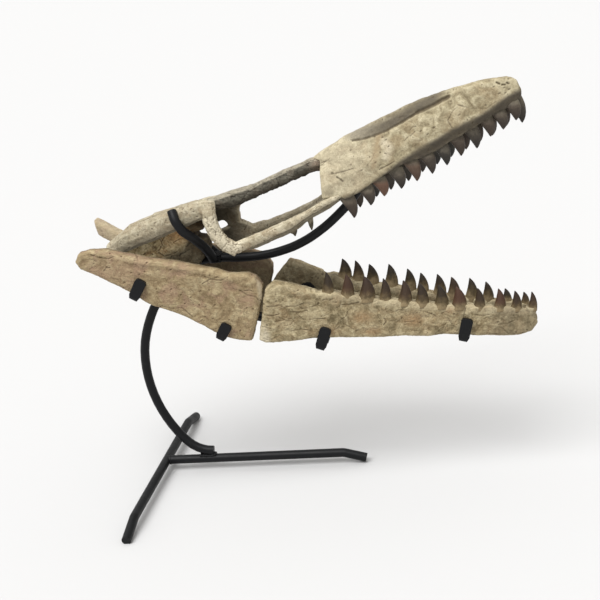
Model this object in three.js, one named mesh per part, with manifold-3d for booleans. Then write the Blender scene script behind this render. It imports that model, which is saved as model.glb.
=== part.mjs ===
// A mosasaur skull, jaws agape, on the welded steel stand that carries it.
// Millimetres. X runs toward the snout, Y toward the animal's left side, Z up from the floor.
// The origin is on the floor, under the middle of the whole specimen.
import * as THREE from 'three';
import { mergeVertices } from 'three/addons/utils/BufferGeometryUtils.js';
import Module from 'manifold-3d';

const wasm = await Module();
wasm.setup();

// ---------------------------------------------------------------- driving dimensions

const MIDPLANE_Y = 16.5; // the skull's own midplane, because the stand's right leg is the longer one
const GAP = 0.3; // air left between pieces that touch

// Lower jaw: two straight rami that meet at the chin
const JAW_REAR_X = -237;
const JAW_TIP_X = 240;
const RAMUS_Y_REAR = 53; // from the midplane to the middle of a ramus
const RAMUS_Y_TIP = 4.9;
const RAMUS_THICK_REAR = 16;
const RAMUS_THICK_TIP = 9.2;
const DENTARY_REAR_X = -55;

// Upper jaw: the gum line is straight seen from the side
const GUM_REAR_X = 57;
const GUM_REAR_Z = 316;
const GUM_SLOPE = 0.468;
const LEFT_SAG = 2; // the left cheek and temporal bar sit this much lower than the right ones

// Teeth
const TOOTH_WIDE = 16;
const LOWER_TOOTH_LEAN = 0.22; // how far forward per length
const UPPER_TOOTH_LEAN = 0.36;
const TOOTH_ROOT = 5; // sunk in the bone

// Steel: round rod, and flat strap for the clips
const ROD = 10.2;
const MUZZLE_ROD = 9;
const STRAP_WIDE = 11.2;
const STRAP = 4.4;
const BASE_Z = 12.5; // height of the base's rods above the floor, at their middle
const CROSSBAR_X = -191;
const CROSSBAR_SKEW = 0.018; // the crossbar's left end is set a little nearer the snout
const STEM_FRONT_X = 15;
const RIGHT_LEG = 133;
const LEFT_LEG = 100;
const FOOT_RUN = 35;
const FRONT_FOOT_RUN = 25;
const FOOT_END_Z = 4; // low enough for a foot's end to be cut flat by the floor
const BOW_CENTRE = [-54, 127]; // x, z of the upright's round part
const BOW_RADIUS = 142.3;

const SIDES = [['right', -1], ['left', 1]];

// ---------------------------------------------------------------- materials

const finish = (color, roughness, metalness = 0) => (
  new THREE.MeshStandardMaterial({ color, roughness, metalness })
);
const FINISHES = {
  tanBone: finish(0xc9ad84, 0.85),
  yellowBone: finish(0xc8b48a, 0.85),
  creamBone: finish(0xd9ceb2, 0.85),
  greyBone: finish(0xb9b19c, 0.85),
  steel: finish(0x17181a, 0.45, 0.3),
};

const skull = new THREE.Group();
const stand = new THREE.Group();

// ---------------------------------------------------------------- solids

function solidOf(geometry) {
  geometry.deleteAttribute('normal');
  geometry.deleteAttribute('uv');
  const { attributes, index } = mergeVertices(geometry);
  const vertProperties = new Float32Array(attributes.position.array);
  const triVerts = new Uint32Array(index.array);
  return new wasm.Manifold(new wasm.Mesh({ numProp: 3, vertProperties, triVerts }));
}

const joined = (solids) => solids.reduce((whole, next) => whole.add(next));
const without = (solid, cutters) => cutters.reduce((rest, next) => rest.subtract(next), solid);

function addNode(group, name, material, solid) {
  const { vertProperties, triVerts } = solid.getMesh();
  const geometry = new THREE.BufferGeometry();
  geometry.setAttribute('position', new THREE.BufferAttribute(vertProperties, 3));
  geometry.setIndex(new THREE.BufferAttribute(triVerts, 1));
  geometry.computeVertexNormals();
  const mesh = new THREE.Mesh(geometry, material);
  mesh.name = name;
  group.add(mesh);
}

// Rings: unit outlines of a section as [across, up], from the top round
function ovalRing(sides, power) {
  return Array.from({ length: sides }, (_, k) => {
    const angle = (2 * Math.PI * (k + 0.5)) / sides;
    const across = Math.sin(angle);
    const up = Math.cos(angle);
    const reach = (Math.abs(across) ** power + Math.abs(up) ** power) ** (-1 / power);
    return [across * reach, up * reach];
  });
}

const ROD_SIDES = 10;
const ROD_RING = ovalRing(ROD_SIDES, 2);
const STRAP_RING = ovalRing(8, 6);
const BONE_RING = ovalRing(10, 2.6);
const WEDGE_RING = ovalRing(12, 3.5);
const TOOTH_RING = ovalRing(6, 2);
const SIDEWAYS = new THREE.Vector3(0, -1, 0);

// A frame for each station of a path: its rings stand square to the path, mitred at the bends, or plumb
function framesAlong(stations, sideways, plumb) {
  const last = stations.length - 1;
  return stations.map(({ at }, i) => {
    const into = at.clone().sub(stations[Math.max(i - 1, 0)].at).normalize();
    const onward = stations[Math.min(i + 1, last)].at.clone().sub(at).normalize();
    const along = plumb ? new THREE.Vector3(1, 0, 0) : into.clone().add(onward).normalize();
    const across = sideways.clone().addScaledVector(along, -sideways.dot(along)).normalize();
    const up = across.clone().cross(along);
    const mitre = plumb ? 1 : 1 / along.dot(i === last ? into : onward);
    return { along, across, up, mitre, end: (i === last) - (i === 0) };
  });
}

// A ring carried along stations { at, deep, wide, narrow }: deep and wide are half sizes, and narrow is
// the width at the ring's top as a share of the width at its bottom. sideways stays square to the path,
// and grow makes the fat copy that cuts a neighbour clear.
function sweep(stations, ring, { sideways = SIDEWAYS, grow = 0, plumb = false } = {}) {
  const last = stations.length - 1;
  const frames = framesAlong(stations, sideways, plumb);
  const geometry = new THREE.CylinderGeometry(1, 1, 1, ring.length, last);
  const { position } = geometry.attributes;
  for (let i = 0; i < position.count; i += 1) {
    const station = Math.round((position.getY(i) + 0.5) * last);
    const { along, across, up, mitre, end } = frames[station];
    const { at, deep, wide, narrow = 1 } = stations[station];
    const turn = Math.atan2(position.getX(i), position.getZ(i)) / (2 * Math.PI);
    const onAxis = Math.hypot(position.getX(i), position.getZ(i)) < 0.5;
    const [a, b] = onAxis ? [0, 0] : ring[Math.round((turn + 1) * ring.length) % ring.length];
    const taper = THREE.MathUtils.lerp(1, narrow, (b + 1) / 2);
    const point = at.clone().addScaledVector(along, end * grow);
    point.addScaledVector(across, a * (wide * taper + grow));
    point.addScaledVector(up, b * (deep + grow) * mitre);
    position.setXYZ(i, point.x, point.y, point.z);
  }
  return solidOf(geometry);
}

// Round rod along a path of points [x, y, z]
function rod(points, grow = 0, thick = ROD, sideways = SIDEWAYS) {
  const half = thick / 2;
  const stations = points.map((point) => ({ at: new THREE.Vector3(...point), deep: half, wide: half }));
  return sweep(stations, ROD_RING, { sideways, grow });
}

// Flat strap bent along a path of points, its width along acrossStrap
function strap(points, acrossStrap, grow = 0) {
  const half = { deep: STRAP / 2, wide: STRAP_WIDE / 2 };
  const stations = points.map((point) => ({ at: new THREE.Vector3(...point), ...half }));
  return sweep(stations, STRAP_RING, { sideways: acrossStrap, grow });
}

// A bone along stations [x, y, z, half depth, half width]
function boneRod(rows, grow = 0) {
  const stations = rows.map(([x, y, z, deep, wide]) => ({ at: new THREE.Vector3(x, y, z), deep, wide }));
  return sweep(stations, BONE_RING, { grow });
}

// A wedge along x from rows [x, top z, bottom z, half width at the bottom, half width at the top]
function wedge(rows, grow = 0) {
  const stations = rows.map(([x, top, bottom, wide, wideTop]) => ({
    at: new THREE.Vector3(x, 0, (top + bottom) / 2), deep: (top - bottom) / 2, wide, narrow: wideTop / wide,
  }));
  return sweep(stations, WEDGE_RING, { grow, plumb: true });
}

const outlineShape = (outline) => new THREE.Shape(outline.map(([x, z]) => new THREE.Vector2(x, z)));

// A plate on edge: an outline of [x, z], bevelled all round. lineAt gives its middle y at an x, and
// thickAt its thickness there.
function plate(outline, lineAt, thickAt, bevel = 3.5, grow = 0) {
  const blank = 2 * bevel + 2;
  const geometry = new THREE.ExtrudeGeometry(outlineShape(outline), {
    depth: 2, steps: 1, bevelEnabled: true, bevelSegments: 2,
    bevelThickness: bevel, bevelSize: bevel, bevelOffset: grow - bevel,
  });
  geometry.translate(0, 0, -1);
  geometry.rotateX(Math.PI / 2);
  const { position } = geometry.attributes;
  for (let i = 0; i < position.count; i += 1) {
    const x = position.getX(i);
    const face = Math.sign(position.getY(i));
    const sunk = Math.abs(position.getY(i)) - blank / 2;
    position.setY(i, lineAt(x) + face * (thickAt(x) / 2 + grow + sunk));
  }
  return solidOf(geometry);
}

// A slab with the outline [x, z] between two planes of y, for cutting
function slab(outline, fromY = -300, toY = 300) {
  const straight = { depth: toY - fromY, bevelEnabled: false };
  const geometry = new THREE.ExtrudeGeometry(outlineShape(outline), straight);
  geometry.rotateX(Math.PI / 2);
  geometry.translate(0, toY, 0);
  return solidOf(geometry);
}

const FAR = 500;
const behind = (x) => slab([[-FAR, -FAR], [x, -FAR], [x, FAR], [-FAR, FAR]]);
const ahead = (x) => slab([[x, -FAR], [FAR, -FAR], [FAR, FAR], [x, FAR]]);
const underFloor = slab([[-FAR, -FAR], [FAR, -FAR], [FAR, 0], [-FAR, 0]]);
// Everything on the other side of the midplane from a side, and half a gap more
const acrossMidplane = (side) => {
  const square = [[-FAR, -FAR], [FAR, -FAR], [FAR, FAR], [-FAR, FAR]];
  return side > 0 ? slab(square, -FAR, GAP / 2) : slab(square, -GAP / 2, FAR);
};

// A tooth on the bone's edge at [x, y, z]: stout, leaning to the snout and curving back at its tip.
// upward is 1 in the lower jaw and -1 in the upper one.
const TOOTH_CURL = 0.12;
const TOOTH_SHAPE = [[0.3, 0.86], [0.7, 0.5], [1, 0.09]]; // shares of its length and of its width there

function tooth([x, y, z], long, wide, upward, lean) {
  const stations = [[-TOOTH_ROOT / long, 1], ...TOOTH_SHAPE].map(([t, share]) => ({
    at: new THREE.Vector3(x + long * (lean * t - TOOTH_CURL * t * t), y, z + upward * long * t),
    deep: (wide / 2) * share,
    wide: (wide / 2) * share * 0.82,
  }));
  return sweep(stations, TOOTH_RING);
}

// ---------------------------------------------------------------- lower jaw

const alongJaw = (x) => (x - JAW_REAR_X) / (JAW_TIP_X - JAW_REAR_X);
const ramusY = (side) => (x) => side * THREE.MathUtils.lerp(RAMUS_Y_REAR, RAMUS_Y_TIP, alongJaw(x));

function ramusThick(x) {
  const along = (Math.max(x, DENTARY_REAR_X) - DENTARY_REAR_X) / (JAW_TIP_X - DENTARY_REAR_X);
  return THREE.MathUtils.lerp(RAMUS_THICK_REAR, RAMUS_THICK_TIP, along);
}

// The dentary's upper edge falls toward the chin, steeply at first
const dentaryEdge = (x) => 213 - 0.27 * (x - 24) + 0.0004 * (x - 24) ** 2;
const DENTARY_KEEL = [
  [-54, 169], [-47, 165], [7, 165], [61, 160.5], [147, 154], [206, 147], [220, 146], [232, 149],
];
const DENTARY_CHIN = [[239, 158], [237, 167]];
const DENTARY_EDGE = [219, 180, 141, 103, 63, 28].map((x) => [x, dentaryEdge(x)]);
const DENTARY_REARS = {
  right: [[7, 218], [-16, 227.5], [-31, 231.5], [-40, 225], [-43, 215], [-47, 193]],
  left: [[7, 221], [-11, 230], [-24, 234.5], [-32, 225], [-42, 212], [-47, 193]],
};
// Each tooth's x and its length from the bone's edge to the tip
const LOWER_TEETH = {
  right: [
    [23, 23.5], [43, 23.5], [63, 24], [82, 24], [102, 23.5], [120, 23], [140, 22.5], [158, 22], [179, 21.5],
    [200, 20.5], [217, 19.5], [234, 18],
  ],
  left: [
    [34, 21], [49, 23], [64, 22.5], [84, 25], [104, 24], [118, 21], [136, 23], [151, 21.5], [170, 22.5],
    [187, 21.5], [207, 15], [226, 13],
  ],
};

// The right surangular and angular end in a rounded heel, the left ones in a bare, obliquely cut rod
const JAW_REAR_FRONT = [[-56, 243], [-49, 239], [-43, 229], [-44, 219], [-52, 197], [-62, 168.5]];
const JAW_REAR_KEEL = [[-75, 171], [-88, 177], [-101, 185], [-130, 207], [-170, 229]];
const JAW_REAR_OUTLINES = {
  right: [
    ...JAW_REAR_FRONT, ...JAW_REAR_KEEL, [-218, 261], [-230, 268], [-234, 276], [-230, 284], [-219, 286],
    [-203, 284.5], [-163, 271.5], [-129, 263], [-89, 250.5], [-77, 245],
  ],
  left: [
    ...JAW_REAR_FRONT, ...JAW_REAR_KEEL, [-217, 257], [-241, 273], [-243, 290], [-209, 270], [-160, 262],
    [-110, 254], [-77, 248],
  ],
};

for (const [sideName, side] of SIDES) {
  const lineAt = ramusY(side);
  const jawRear = plate(JAW_REAR_OUTLINES[sideName], lineAt, ramusThick);
  addNode(skull, `jaw_rear_${sideName}`, FINISHES.tanBone, jawRear);

  const teeth = LOWER_TEETH[sideName].map(([x, long]) => {
    const wide = TOOTH_WIDE * THREE.MathUtils.lerp(1, 0.8, alongJaw(x));
    return tooth([x, lineAt(x), dentaryEdge(x)], long, wide, 1, LOWER_TOOTH_LEAN);
  });
  const outline = [...DENTARY_KEEL, ...DENTARY_CHIN, ...DENTARY_EDGE, ...DENTARY_REARS[sideName]];
  const dentary = joined([plate(outline, lineAt, ramusThick), ...teeth]);
  addNode(skull, `dentary_${sideName}`, FINISHES.yellowBone, without(dentary, [acrossMidplane(side)]));
}

// ---------------------------------------------------------------- stand

// Base: a stem toward the snout butts on a crossbar, and each of the three ends is bent down into a foot
const STEM_PATH = [
  [CROSSBAR_X + ROD / 2 + GAP, 0, BASE_Z], [STEM_FRONT_X, 0, BASE_Z],
  [STEM_FRONT_X + FRONT_FOOT_RUN, 0, FOOT_END_Z],
];
const onCrossbar = (y, z) => [CROSSBAR_X + CROSSBAR_SKEW * y, y, z];
const CROSSBAR_PATH = [
  onCrossbar(-RIGHT_LEG - FOOT_RUN, FOOT_END_Z), onCrossbar(-RIGHT_LEG, BASE_Z),
  onCrossbar(LEFT_LEG, BASE_Z), onCrossbar(LEFT_LEG + FOOT_RUN, FOOT_END_Z),
];
const TO_SNOUT = new THREE.Vector3(1, 0, 0);
const crossbar = rod(CROSSBAR_PATH, 0, ROD, TO_SNOUT);
addNode(stand, 'stand_stem', FINISHES.steel, without(rod(STEM_PATH), [underFloor]));
addNode(stand, 'stand_crossbar', FINISHES.steel, without(crossbar, [underFloor]));

// Upright: lies on the stem at its foot, bows back and up, and curves forward to its head between the jaws
const BOW_FROM = 218;
const BOW_TO = 150; // degrees round the bow's centre from the snout, anticlockwise
const bowPoint = (degrees) => {
  const angle = THREE.MathUtils.degToRad(degrees);
  return new THREE.Vector2(
    BOW_CENTRE[0] + BOW_RADIUS * Math.cos(angle),
    BOW_CENTRE[1] + BOW_RADIUS * Math.sin(angle),
  );
};
const acrossFlats = ROD * Math.cos(Math.PI / ROD_SIDES);
const UPRIGHT_FOOT = new THREE.Vector2(-134, BASE_Z + acrossFlats + GAP);
const UPRIGHT_HEAD = new THREE.Vector2(-97, 252);
const FOOT_CONTROL = new THREE.Vector2(-153, UPRIGHT_FOOT.y);
const HEAD_CONTROL = new THREE.Vector2(-142, 253);
const BOW_STEPS = 7;
const footCurve = new THREE.QuadraticBezierCurve(UPRIGHT_FOOT, FOOT_CONTROL, bowPoint(BOW_FROM));
const headCurve = new THREE.QuadraticBezierCurve(bowPoint(BOW_TO), HEAD_CONTROL, UPRIGHT_HEAD);
const bowStations = Array.from({ length: BOW_STEPS - 1 }, (_, i) => (
  bowPoint(THREE.MathUtils.lerp(BOW_FROM, BOW_TO, (i + 1) / BOW_STEPS))
));
const uprightStations = [...footCurve.getPoints(4), ...bowStations, ...headCurve.getPoints(5)];
const UPRIGHT_PATH = uprightStations.map(({ x, y: z }) => [x, 0, z]);
addNode(stand, 'stand_upright', FINISHES.steel, rod(UPRIGHT_PATH));

// Muzzle rod: runs on from the upright's head, under the palate, and up into its vault
const muzzleCurve = new THREE.CatmullRomCurve3([
  [-97, 252], [-65, 250.5], [-43, 251.5], [-24, 255], [-4, 261.5], [19, 274], [43, 292.5], [58, 307],
  [70, 323], [79, 343],
].map(([x, z]) => new THREE.Vector3(x, 0, z)));
const MUZZLE_ROD_PATH = muzzleCurve.getPoints(15).map(({ x, y, z }) => [x, y, z]);
addNode(stand, 'stand_muzzle_rod', FINISHES.steel,
  without(rod(MUZZLE_ROD_PATH, 0, MUZZLE_ROD), [rod(UPRIGHT_PATH, GAP)]));

// Hooks: each comes from the upright's head out under a temporal bar and up its outer face, and the right
// one goes on to the bar's top
const HOOK_Y = ROD + GAP;
const HOOK_PATHS = {
  right: [
    [-131.3, -24.5, 314], [-127.6, -31, 305], [-121.5, -31.5, 293.5], [-112.5, -25, 283], [-105, -16, 270],
    [-100, -HOOK_Y - 0.6, 259], [-98, -HOOK_Y, 252],
  ],
  left: [[-132, 29.8, 290], [-129, 29.5, 281], [-119, 21.5, 270], [-107, 12, 260], [-98, HOOK_Y, 252]],
};
for (const [sideName] of SIDES) {
  addNode(stand, `stand_hook_${sideName}`, FINISHES.steel, rod(HOOK_PATHS[sideName]));
}

// Jaw clips: cradles of bent strap that hold a ramus by its lower edge. Each stands at [x, z] on the edge,
// leans toward the snout, reaches up the ramus's outer face and hangs by its drop below the edge.
const CLIPS = {
  a: { x: -177, z: 233, lean: 32, reach: 21, drop: 0.4 },
  b: { x: -92, z: 179, lean: 33, reach: 16, drop: 0.6 },
  c: { x: 14.5, z: 164.5, lean: 22, reach: 14, drop: 7.5 },
  d: { x: 162, z: 152.5, lean: 16, reach: 20, drop: 2.4 },
};
const CLIP_SLACK = 0.9; // from a ramus's face to the strap, at its middle, as the ramus runs aslant

// A point above a clip's foot, square to its own bar, at a y
function aboveEdge({ x, z, lean }, rise, y) {
  const angle = THREE.MathUtils.degToRad(lean);
  return [x + rise * Math.sin(angle), y, z + rise * Math.cos(angle)];
}

// A point of a clip's bar against a ramus: face is 1 on the outer face and -1 on the inner one
function besideRamus(clip, rise, side, face) {
  const [x, , z] = aboveEdge(clip, rise, 0);
  return [x, ramusY(side)(x) + face * side * (ramusThick(x) / 2 + STRAP / 2 + CLIP_SLACK), z];
}

function acrossClip({ lean }) {
  const angle = THREE.MathUtils.degToRad(lean);
  return new THREE.Vector3(Math.cos(angle), 0, -Math.sin(angle));
}

// The middle of a clip's strap where it passes under the ramus, as a rise above the edge
const clipFloor = (clip) => -(clip.drop + STRAP / 2);

const INNER_REACH = 0.7; // of the outer finger's reach
for (const name of ['a', 'b', 'c']) {
  const clip = CLIPS[name];
  const floor = clipFloor(clip);
  for (const [sideName, side] of SIDES) {
    const path = [
      besideRamus(clip, clip.reach, side, 1), besideRamus(clip, floor, side, 1),
      besideRamus(clip, floor, side, -1), besideRamus(clip, clip.reach * INNER_REACH, side, -1),
    ];
    addNode(stand, `stand_clip_${name}_${sideName}`, FINISHES.steel, strap(path, acrossClip(clip)));
  }
  const crossEnd = besideRamus(clip, floor, 1, -1)[1] - STRAP / 2 - GAP;
  const crossPath = [-crossEnd, crossEnd].map((y) => aboveEdge(clip, floor, y));
  addNode(stand, `stand_cross_${name}`, FINISHES.steel, strap(crossPath, acrossClip(clip)));
}

// The foremost clip takes both rami at once, as they nearly meet there
const front = CLIPS.d;
const frontPath = [
  besideRamus(front, front.reach, -1, 1), besideRamus(front, clipFloor(front), -1, 1),
  besideRamus(front, clipFloor(front), 1, 1), besideRamus(front, front.reach, 1, 1),
];
addNode(stand, 'stand_clip_d', FINISHES.steel, strap(frontPath, acrossClip(front)));

// Prop: a strap welded on the inner finger of the left clip c, which leans back up the dentary's inner face
const propAt = (x, z) => [x, ramusY(1)(x) - (ramusThick(x) + STRAP) / 2 - CLIP_SLACK, z];
const propFoot = propAt(20, 170.5);
const propTip = propAt(-9, 209);
const acrossProp = new THREE.Vector3(propTip[2] - propFoot[2], 0, propFoot[0] - propTip[0]).normalize();
const fingerEnds = [clipFloor(CLIPS.c), CLIPS.c.reach * INNER_REACH];
const proppedFinger = fingerEnds.map((rise) => besideRamus(CLIPS.c, rise, 1, -1));
const fatFinger = strap(proppedFinger, acrossClip(CLIPS.c), GAP);
addNode(stand, 'stand_prop', FINISHES.steel, without(strap([propFoot, propTip], acrossProp), [fatFinger]));

// Spine: lies on the cross pieces from clip to clip, beside the upright and then on the midplane
const spineRise = (clip) => clipFloor(clip) + (STRAP + ROD) / 2 + GAP;
const SPINE_PATH = [
  aboveEdge({ ...CLIPS.a, x: CLIPS.a.x - 7, z: CLIPS.a.z + 4 }, spineRise(CLIPS.a) + 0.5, ROD + GAP),
  aboveEdge(CLIPS.b, spineRise(CLIPS.b) + 1, ROD + GAP),
  aboveEdge(CLIPS.c, spineRise(CLIPS.c) + 1, 0),
  aboveEdge({ ...front, x: front.x + 8 }, spineRise(front) + 1, 0),
];
addNode(stand, 'stand_spine', FINISHES.steel, rod(SPINE_PATH));

// ---------------------------------------------------------------- upper jaw and snout

const gumZ = (x) => GUM_REAR_Z + GUM_SLOPE * (x - GUM_REAR_X);
const toothRowY = (x) => 28 - 0.05 * (x - 60) - 0.0004 * (x - 60) ** 2;
const cheek = (x, top, halfTop) => [x, top, gumZ(x), toothRowY(x) + 5, halfTop];
const MUZZLE_ROWS = [
  [30, 355, 311, 31, 9], [46, 365.5, 311, 32, 9], cheek(60, 373.5, 8.5), cheek(100, 390, 8),
  cheek(140, 403.5, 8), cheek(175, 412, 8), cheek(205, 416.5, 8), cheek(224, 417.5, 7.5),
  [233, 414, 398.5, 9.5, 6.5], [237.5, 408, 401, 6, 5],
];
const VAULT_ROWS = [
  [20, 336, 290, 19, 9], [100, 362, 320, 17, 8], [170, 384, 350, 9, 5], [204, 394, 370, 3, 3],
];
const muzzle = wedge(MUZZLE_ROWS).subtract(wedge(VAULT_ROWS));

// The premaxilla: the snout's tip and the long bar that runs back from it above the slit of the nostrils
const BAR_UNDERSIDE = [
  [28, 345], [50, 359], [66, 368], [81, 371.5], [101, 376.5], [119, 385], [135, 393], [152, 399],
];
const SUTURE = [[170, 402], [188, 393], [206, 383], [214, 360]];
const abovePremaxilla = [[FAR, 360], [FAR, FAR], [28, FAR]];
const premaxillaSlab = slab([...BAR_UNDERSIDE, ...SUTURE, ...abovePremaxilla]);
const nostrilSlit = (x) => (x > 80 && x < 160 ? 2.4 : GAP);
const clearOfPremaxilla = slab([
  ...BAR_UNDERSIDE.map(([x, z]) => [x, z - nostrilSlit(x)]), ...SUTURE.map(([x, z]) => [x - GAP, z - GAP]),
  ...abovePremaxilla,
]);

const UPPER_TEETH = {
  right: [
    [57, 23], [73.5, 18], [88, 17.5], [106, 19.5], [123, 20.5], [138.5, 22], [154, 22.5], [169.5, 22],
    [184.5, 22.5], [199, 19], [213.5, 19], [229, 18],
  ],
  left: [
    [58, 23], [74, 21], [90, 21], [109, 21], [127, 21], [143, 21], [158, 21], [174, 21], [187, 21],
    [200, 21], [216, 20], [231, 19],
  ],
};
const PREMAXILLA_FROM_X = 208;
function upperTeeth(sideName, side, wanted) {
  const teeth = UPPER_TEETH[sideName].filter(([x]) => wanted(x));
  return teeth.map(([x, long]) => {
    const y = side * Math.max(toothRowY(x), TOOTH_WIDE * 0.41);
    return tooth([x, y, gumZ(x)], long, TOOTH_WIDE, -1, UPPER_TOOTH_LEAN);
  });
}

const onPremaxilla = (x) => x > PREMAXILLA_FROM_X;
const snoutTeeth = SIDES.flatMap(([sideName, side]) => upperTeeth(sideName, side, onPremaxilla));
const premaxilla = joined([muzzle.intersect(premaxillaSlab), ...snoutTeeth]);
addNode(skull, 'premaxilla', FINISHES.creamBone, premaxilla);
for (const [sideName, side] of SIDES) {
  const teeth = upperTeeth(sideName, side, (x) => !onPremaxilla(x));
  const maxilla = without(joined([muzzle, ...teeth]), [clearOfPremaxilla, acrossMidplane(side)]);
  addNode(skull, `maxilla_${sideName}`, FINISHES.creamBone, maxilla);
}

// ---------------------------------------------------------------- skull roof, cheeks and braincase

const ROOF_ROWS = [
  [-132, 0, 304.5, 4.5, 7.5], [-100, 0, 309.5, 5.5, 8.5], [-78, 0, 313.5, 6.8, 11], [-63, 0, 316.5, 6.8, 11],
  [-43, 0, 322, 5, 9.5], [-12, 0, 333.2, 5, 8.5], [12, 0, 342.5, 5.6, 8.5], [36, 0, 352.5, 7, 9],
];
const roof = boneRod(ROOF_ROWS);
const fatRoof = boneRod(ROOF_ROWS, GAP);
const fatMuzzle = wedge(MUZZLE_ROWS, GAP);
const FRONTAL_REAR_X = -60;
addNode(skull, 'parietal', FINISHES.greyBone, without(roof, [ahead(FRONTAL_REAR_X - GAP)]));
addNode(skull, 'frontal', FINISHES.greyBone, without(roof, [behind(FRONTAL_REAR_X), fatMuzzle]));

const sagging = (rows, side) => rows.map(([x, y, z, ...size]) => (
  [x, side * y, z - (side > 0 ? LEFT_SAG : 0), ...size]
));
const TEMPORAL_ROWS = {
  right: [
    [-213, 16, 262, 5, 6], [-205, 16, 274, 8, 8.5], [-188, 16.5, 283, 10.5, 9.5], [-163, 17, 291, 11, 9.5],
    [-140, 17, 298.5, 11, 9.5], [-118, 18, 306, 10.5, 9], [-101, 19, 311, 9, 8.5], [-92, 20, 313.5, 7, 7],
  ],
  left: [
    [-213, 16, 262, 5, 6], [-205, 16, 273, 8, 8.5], [-188, 16.5, 283, 10.5, 9.5], [-163, 17, 290.5, 11, 9.5],
    [-140, 17, 295.5, 11, 9.5], [-118, 18, 301, 10, 9], [-101, 19, 305.5, 9, 8.5], [-88, 20, 309, 7, 7],
  ],
};
const JUGAL_FRONT = [[-7, 26, 291, 4.8, 5], [14, 25.5, 301.2, 3.7, 4.5], [44, 24, 316.5, 3.8, 4.2]];
const JUGAL_ROWS = {
  right: [[-68, 26, 269, 6, 5.5], [-41, 26, 278.3, 5.3, 5.5], ...JUGAL_FRONT],
  left: [[-90, 25, 270, 5, 5], [-68, 26, 271, 6.5, 5.5], [-41, 26, 279, 5.3, 5.5], ...JUGAL_FRONT],
};
const RIGHT_POSTORBITAL_ROWS = [
  [-92, 20, 319, 7, 5], [-92.5, 24, 309, 7.2, 5.5], [-91, 26.5, 298, 7.3, 6], [-86, 27, 284.5, 7.3, 6],
  [-77, 27, 273.5, 7.2, 6], [-66, 27, 266.5, 6.8, 6],
];
const LEFT_POSTORBITAL_OUTLINE = [
  [-98, 310], [-104, 300], [-105, 289], [-93, 287], [-90, 288.3], [-87, 288], [-84.5, 285.5], [-82.8, 281.5],
  [-87, 279.3], [-91.6, 277.2], [-97, 276.5], [-94, 270], [-84, 263], [-64, 263], [-58, 270], [-54, 276],
  [-61, 280.5], [-70.5, 286], [-70, 293], [-70.2, 299], [-66, 306], [-62, 316],
];
const leftPostorbitalY = (x) => THREE.MathUtils.lerp(25, 18, (x + 50) / -50);
const postorbitalSolid = (side, grow) => (side < 0
  ? boneRod(sagging(RIGHT_POSTORBITAL_ROWS, side), grow)
  : plate(LEFT_POSTORBITAL_OUTLINE, leftPostorbitalY, () => 10, 2.5, grow));

for (const [sideName, side] of SIDES) {
  const jugalRows = sagging(JUGAL_ROWS[sideName], side);
  const temporal = boneRod(sagging(TEMPORAL_ROWS[sideName], side));
  const postorbital = postorbitalSolid(side, 0);
  addNode(skull, `temporal_bar_${sideName}`, FINISHES.creamBone,
    without(temporal, [fatRoof, rod(HOOK_PATHS[sideName], GAP), postorbitalSolid(side, GAP)]));
  addNode(skull, `postorbital_${sideName}`, FINISHES.creamBone,
    without(postorbital, [fatRoof, boneRod(jugalRows, GAP)]));
  addNode(skull, `jugal_${sideName}`, FINISHES.creamBone, without(boneRod(jugalRows), [fatMuzzle]));
}

// Pterygoids: each a rod beside the midplane, from the palate back inside the cheek; the right one has teeth
const PTERYGOID_ROWS = [
  [-56, 17, 268, 4.5, 3.5], [-20, 15, 281, 5, 4.5], [15, 15, 295, 5, 5], [34, 17, 305, 6, 6],
  [45, 18, 312, 5.5, 5.5],
];
const PTERYGOID_TEETH = { right: [[-6, 283, 9], [12, 294, 15]], left: [] }; // x, z and length of each
const PTERYGOID_TOOTH_WIDE = 8.5;
const fatPalate = fatMuzzle.subtract(wedge(VAULT_ROWS));
for (const [sideName, side] of SIDES) {
  const rows = sagging(PTERYGOID_ROWS, side);
  const teeth = PTERYGOID_TEETH[sideName].map(([x, z, long]) => (
    tooth([x, side * 15, z], long, PTERYGOID_TOOTH_WIDE, -1, LOWER_TOOTH_LEAN)
  ));
  const fatJugal = boneRod(sagging(JUGAL_ROWS[sideName], side), GAP);
  const pterygoid = joined([boneRod(rows), ...teeth]);
  addNode(skull, `pterygoid_${sideName}`, FINISHES.creamBone, without(pterygoid, [fatPalate, fatJugal]));
}

// Braincase: a block hung between the temporal bars, under the parietal
const BRAINCASE_OUTLINE = [
  [-192, 266], [-176, 284], [-150, 295], [-130, 298], [-118, 287], [-110, 272], [-105, 258], [-113, 249],
  [-124, 246], [-163, 258], [-180, 262],
];
const braincase = plate(BRAINCASE_OUTLINE, () => 0, () => 26);
const braincaseNeighbours = SIDES.flatMap(([sideName, side]) => [
  boneRod(sagging(TEMPORAL_ROWS[sideName], side), GAP), rod(HOOK_PATHS[sideName], GAP),
]);
addNode(skull, 'braincase', FINISHES.tanBone,
  without(braincase, [fatRoof, ...braincaseNeighbours, rod(UPRIGHT_PATH, GAP)]));

// ---------------------------------------------------------------- the specimen

const specimen = new THREE.Group();
specimen.add(skull, stand);
specimen.position.y = MIDPLANE_Y;
export default specimen;
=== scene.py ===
import math

import bpy
import numpy as np
from mathutils import Matrix, Vector, kdtree, noise


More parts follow.
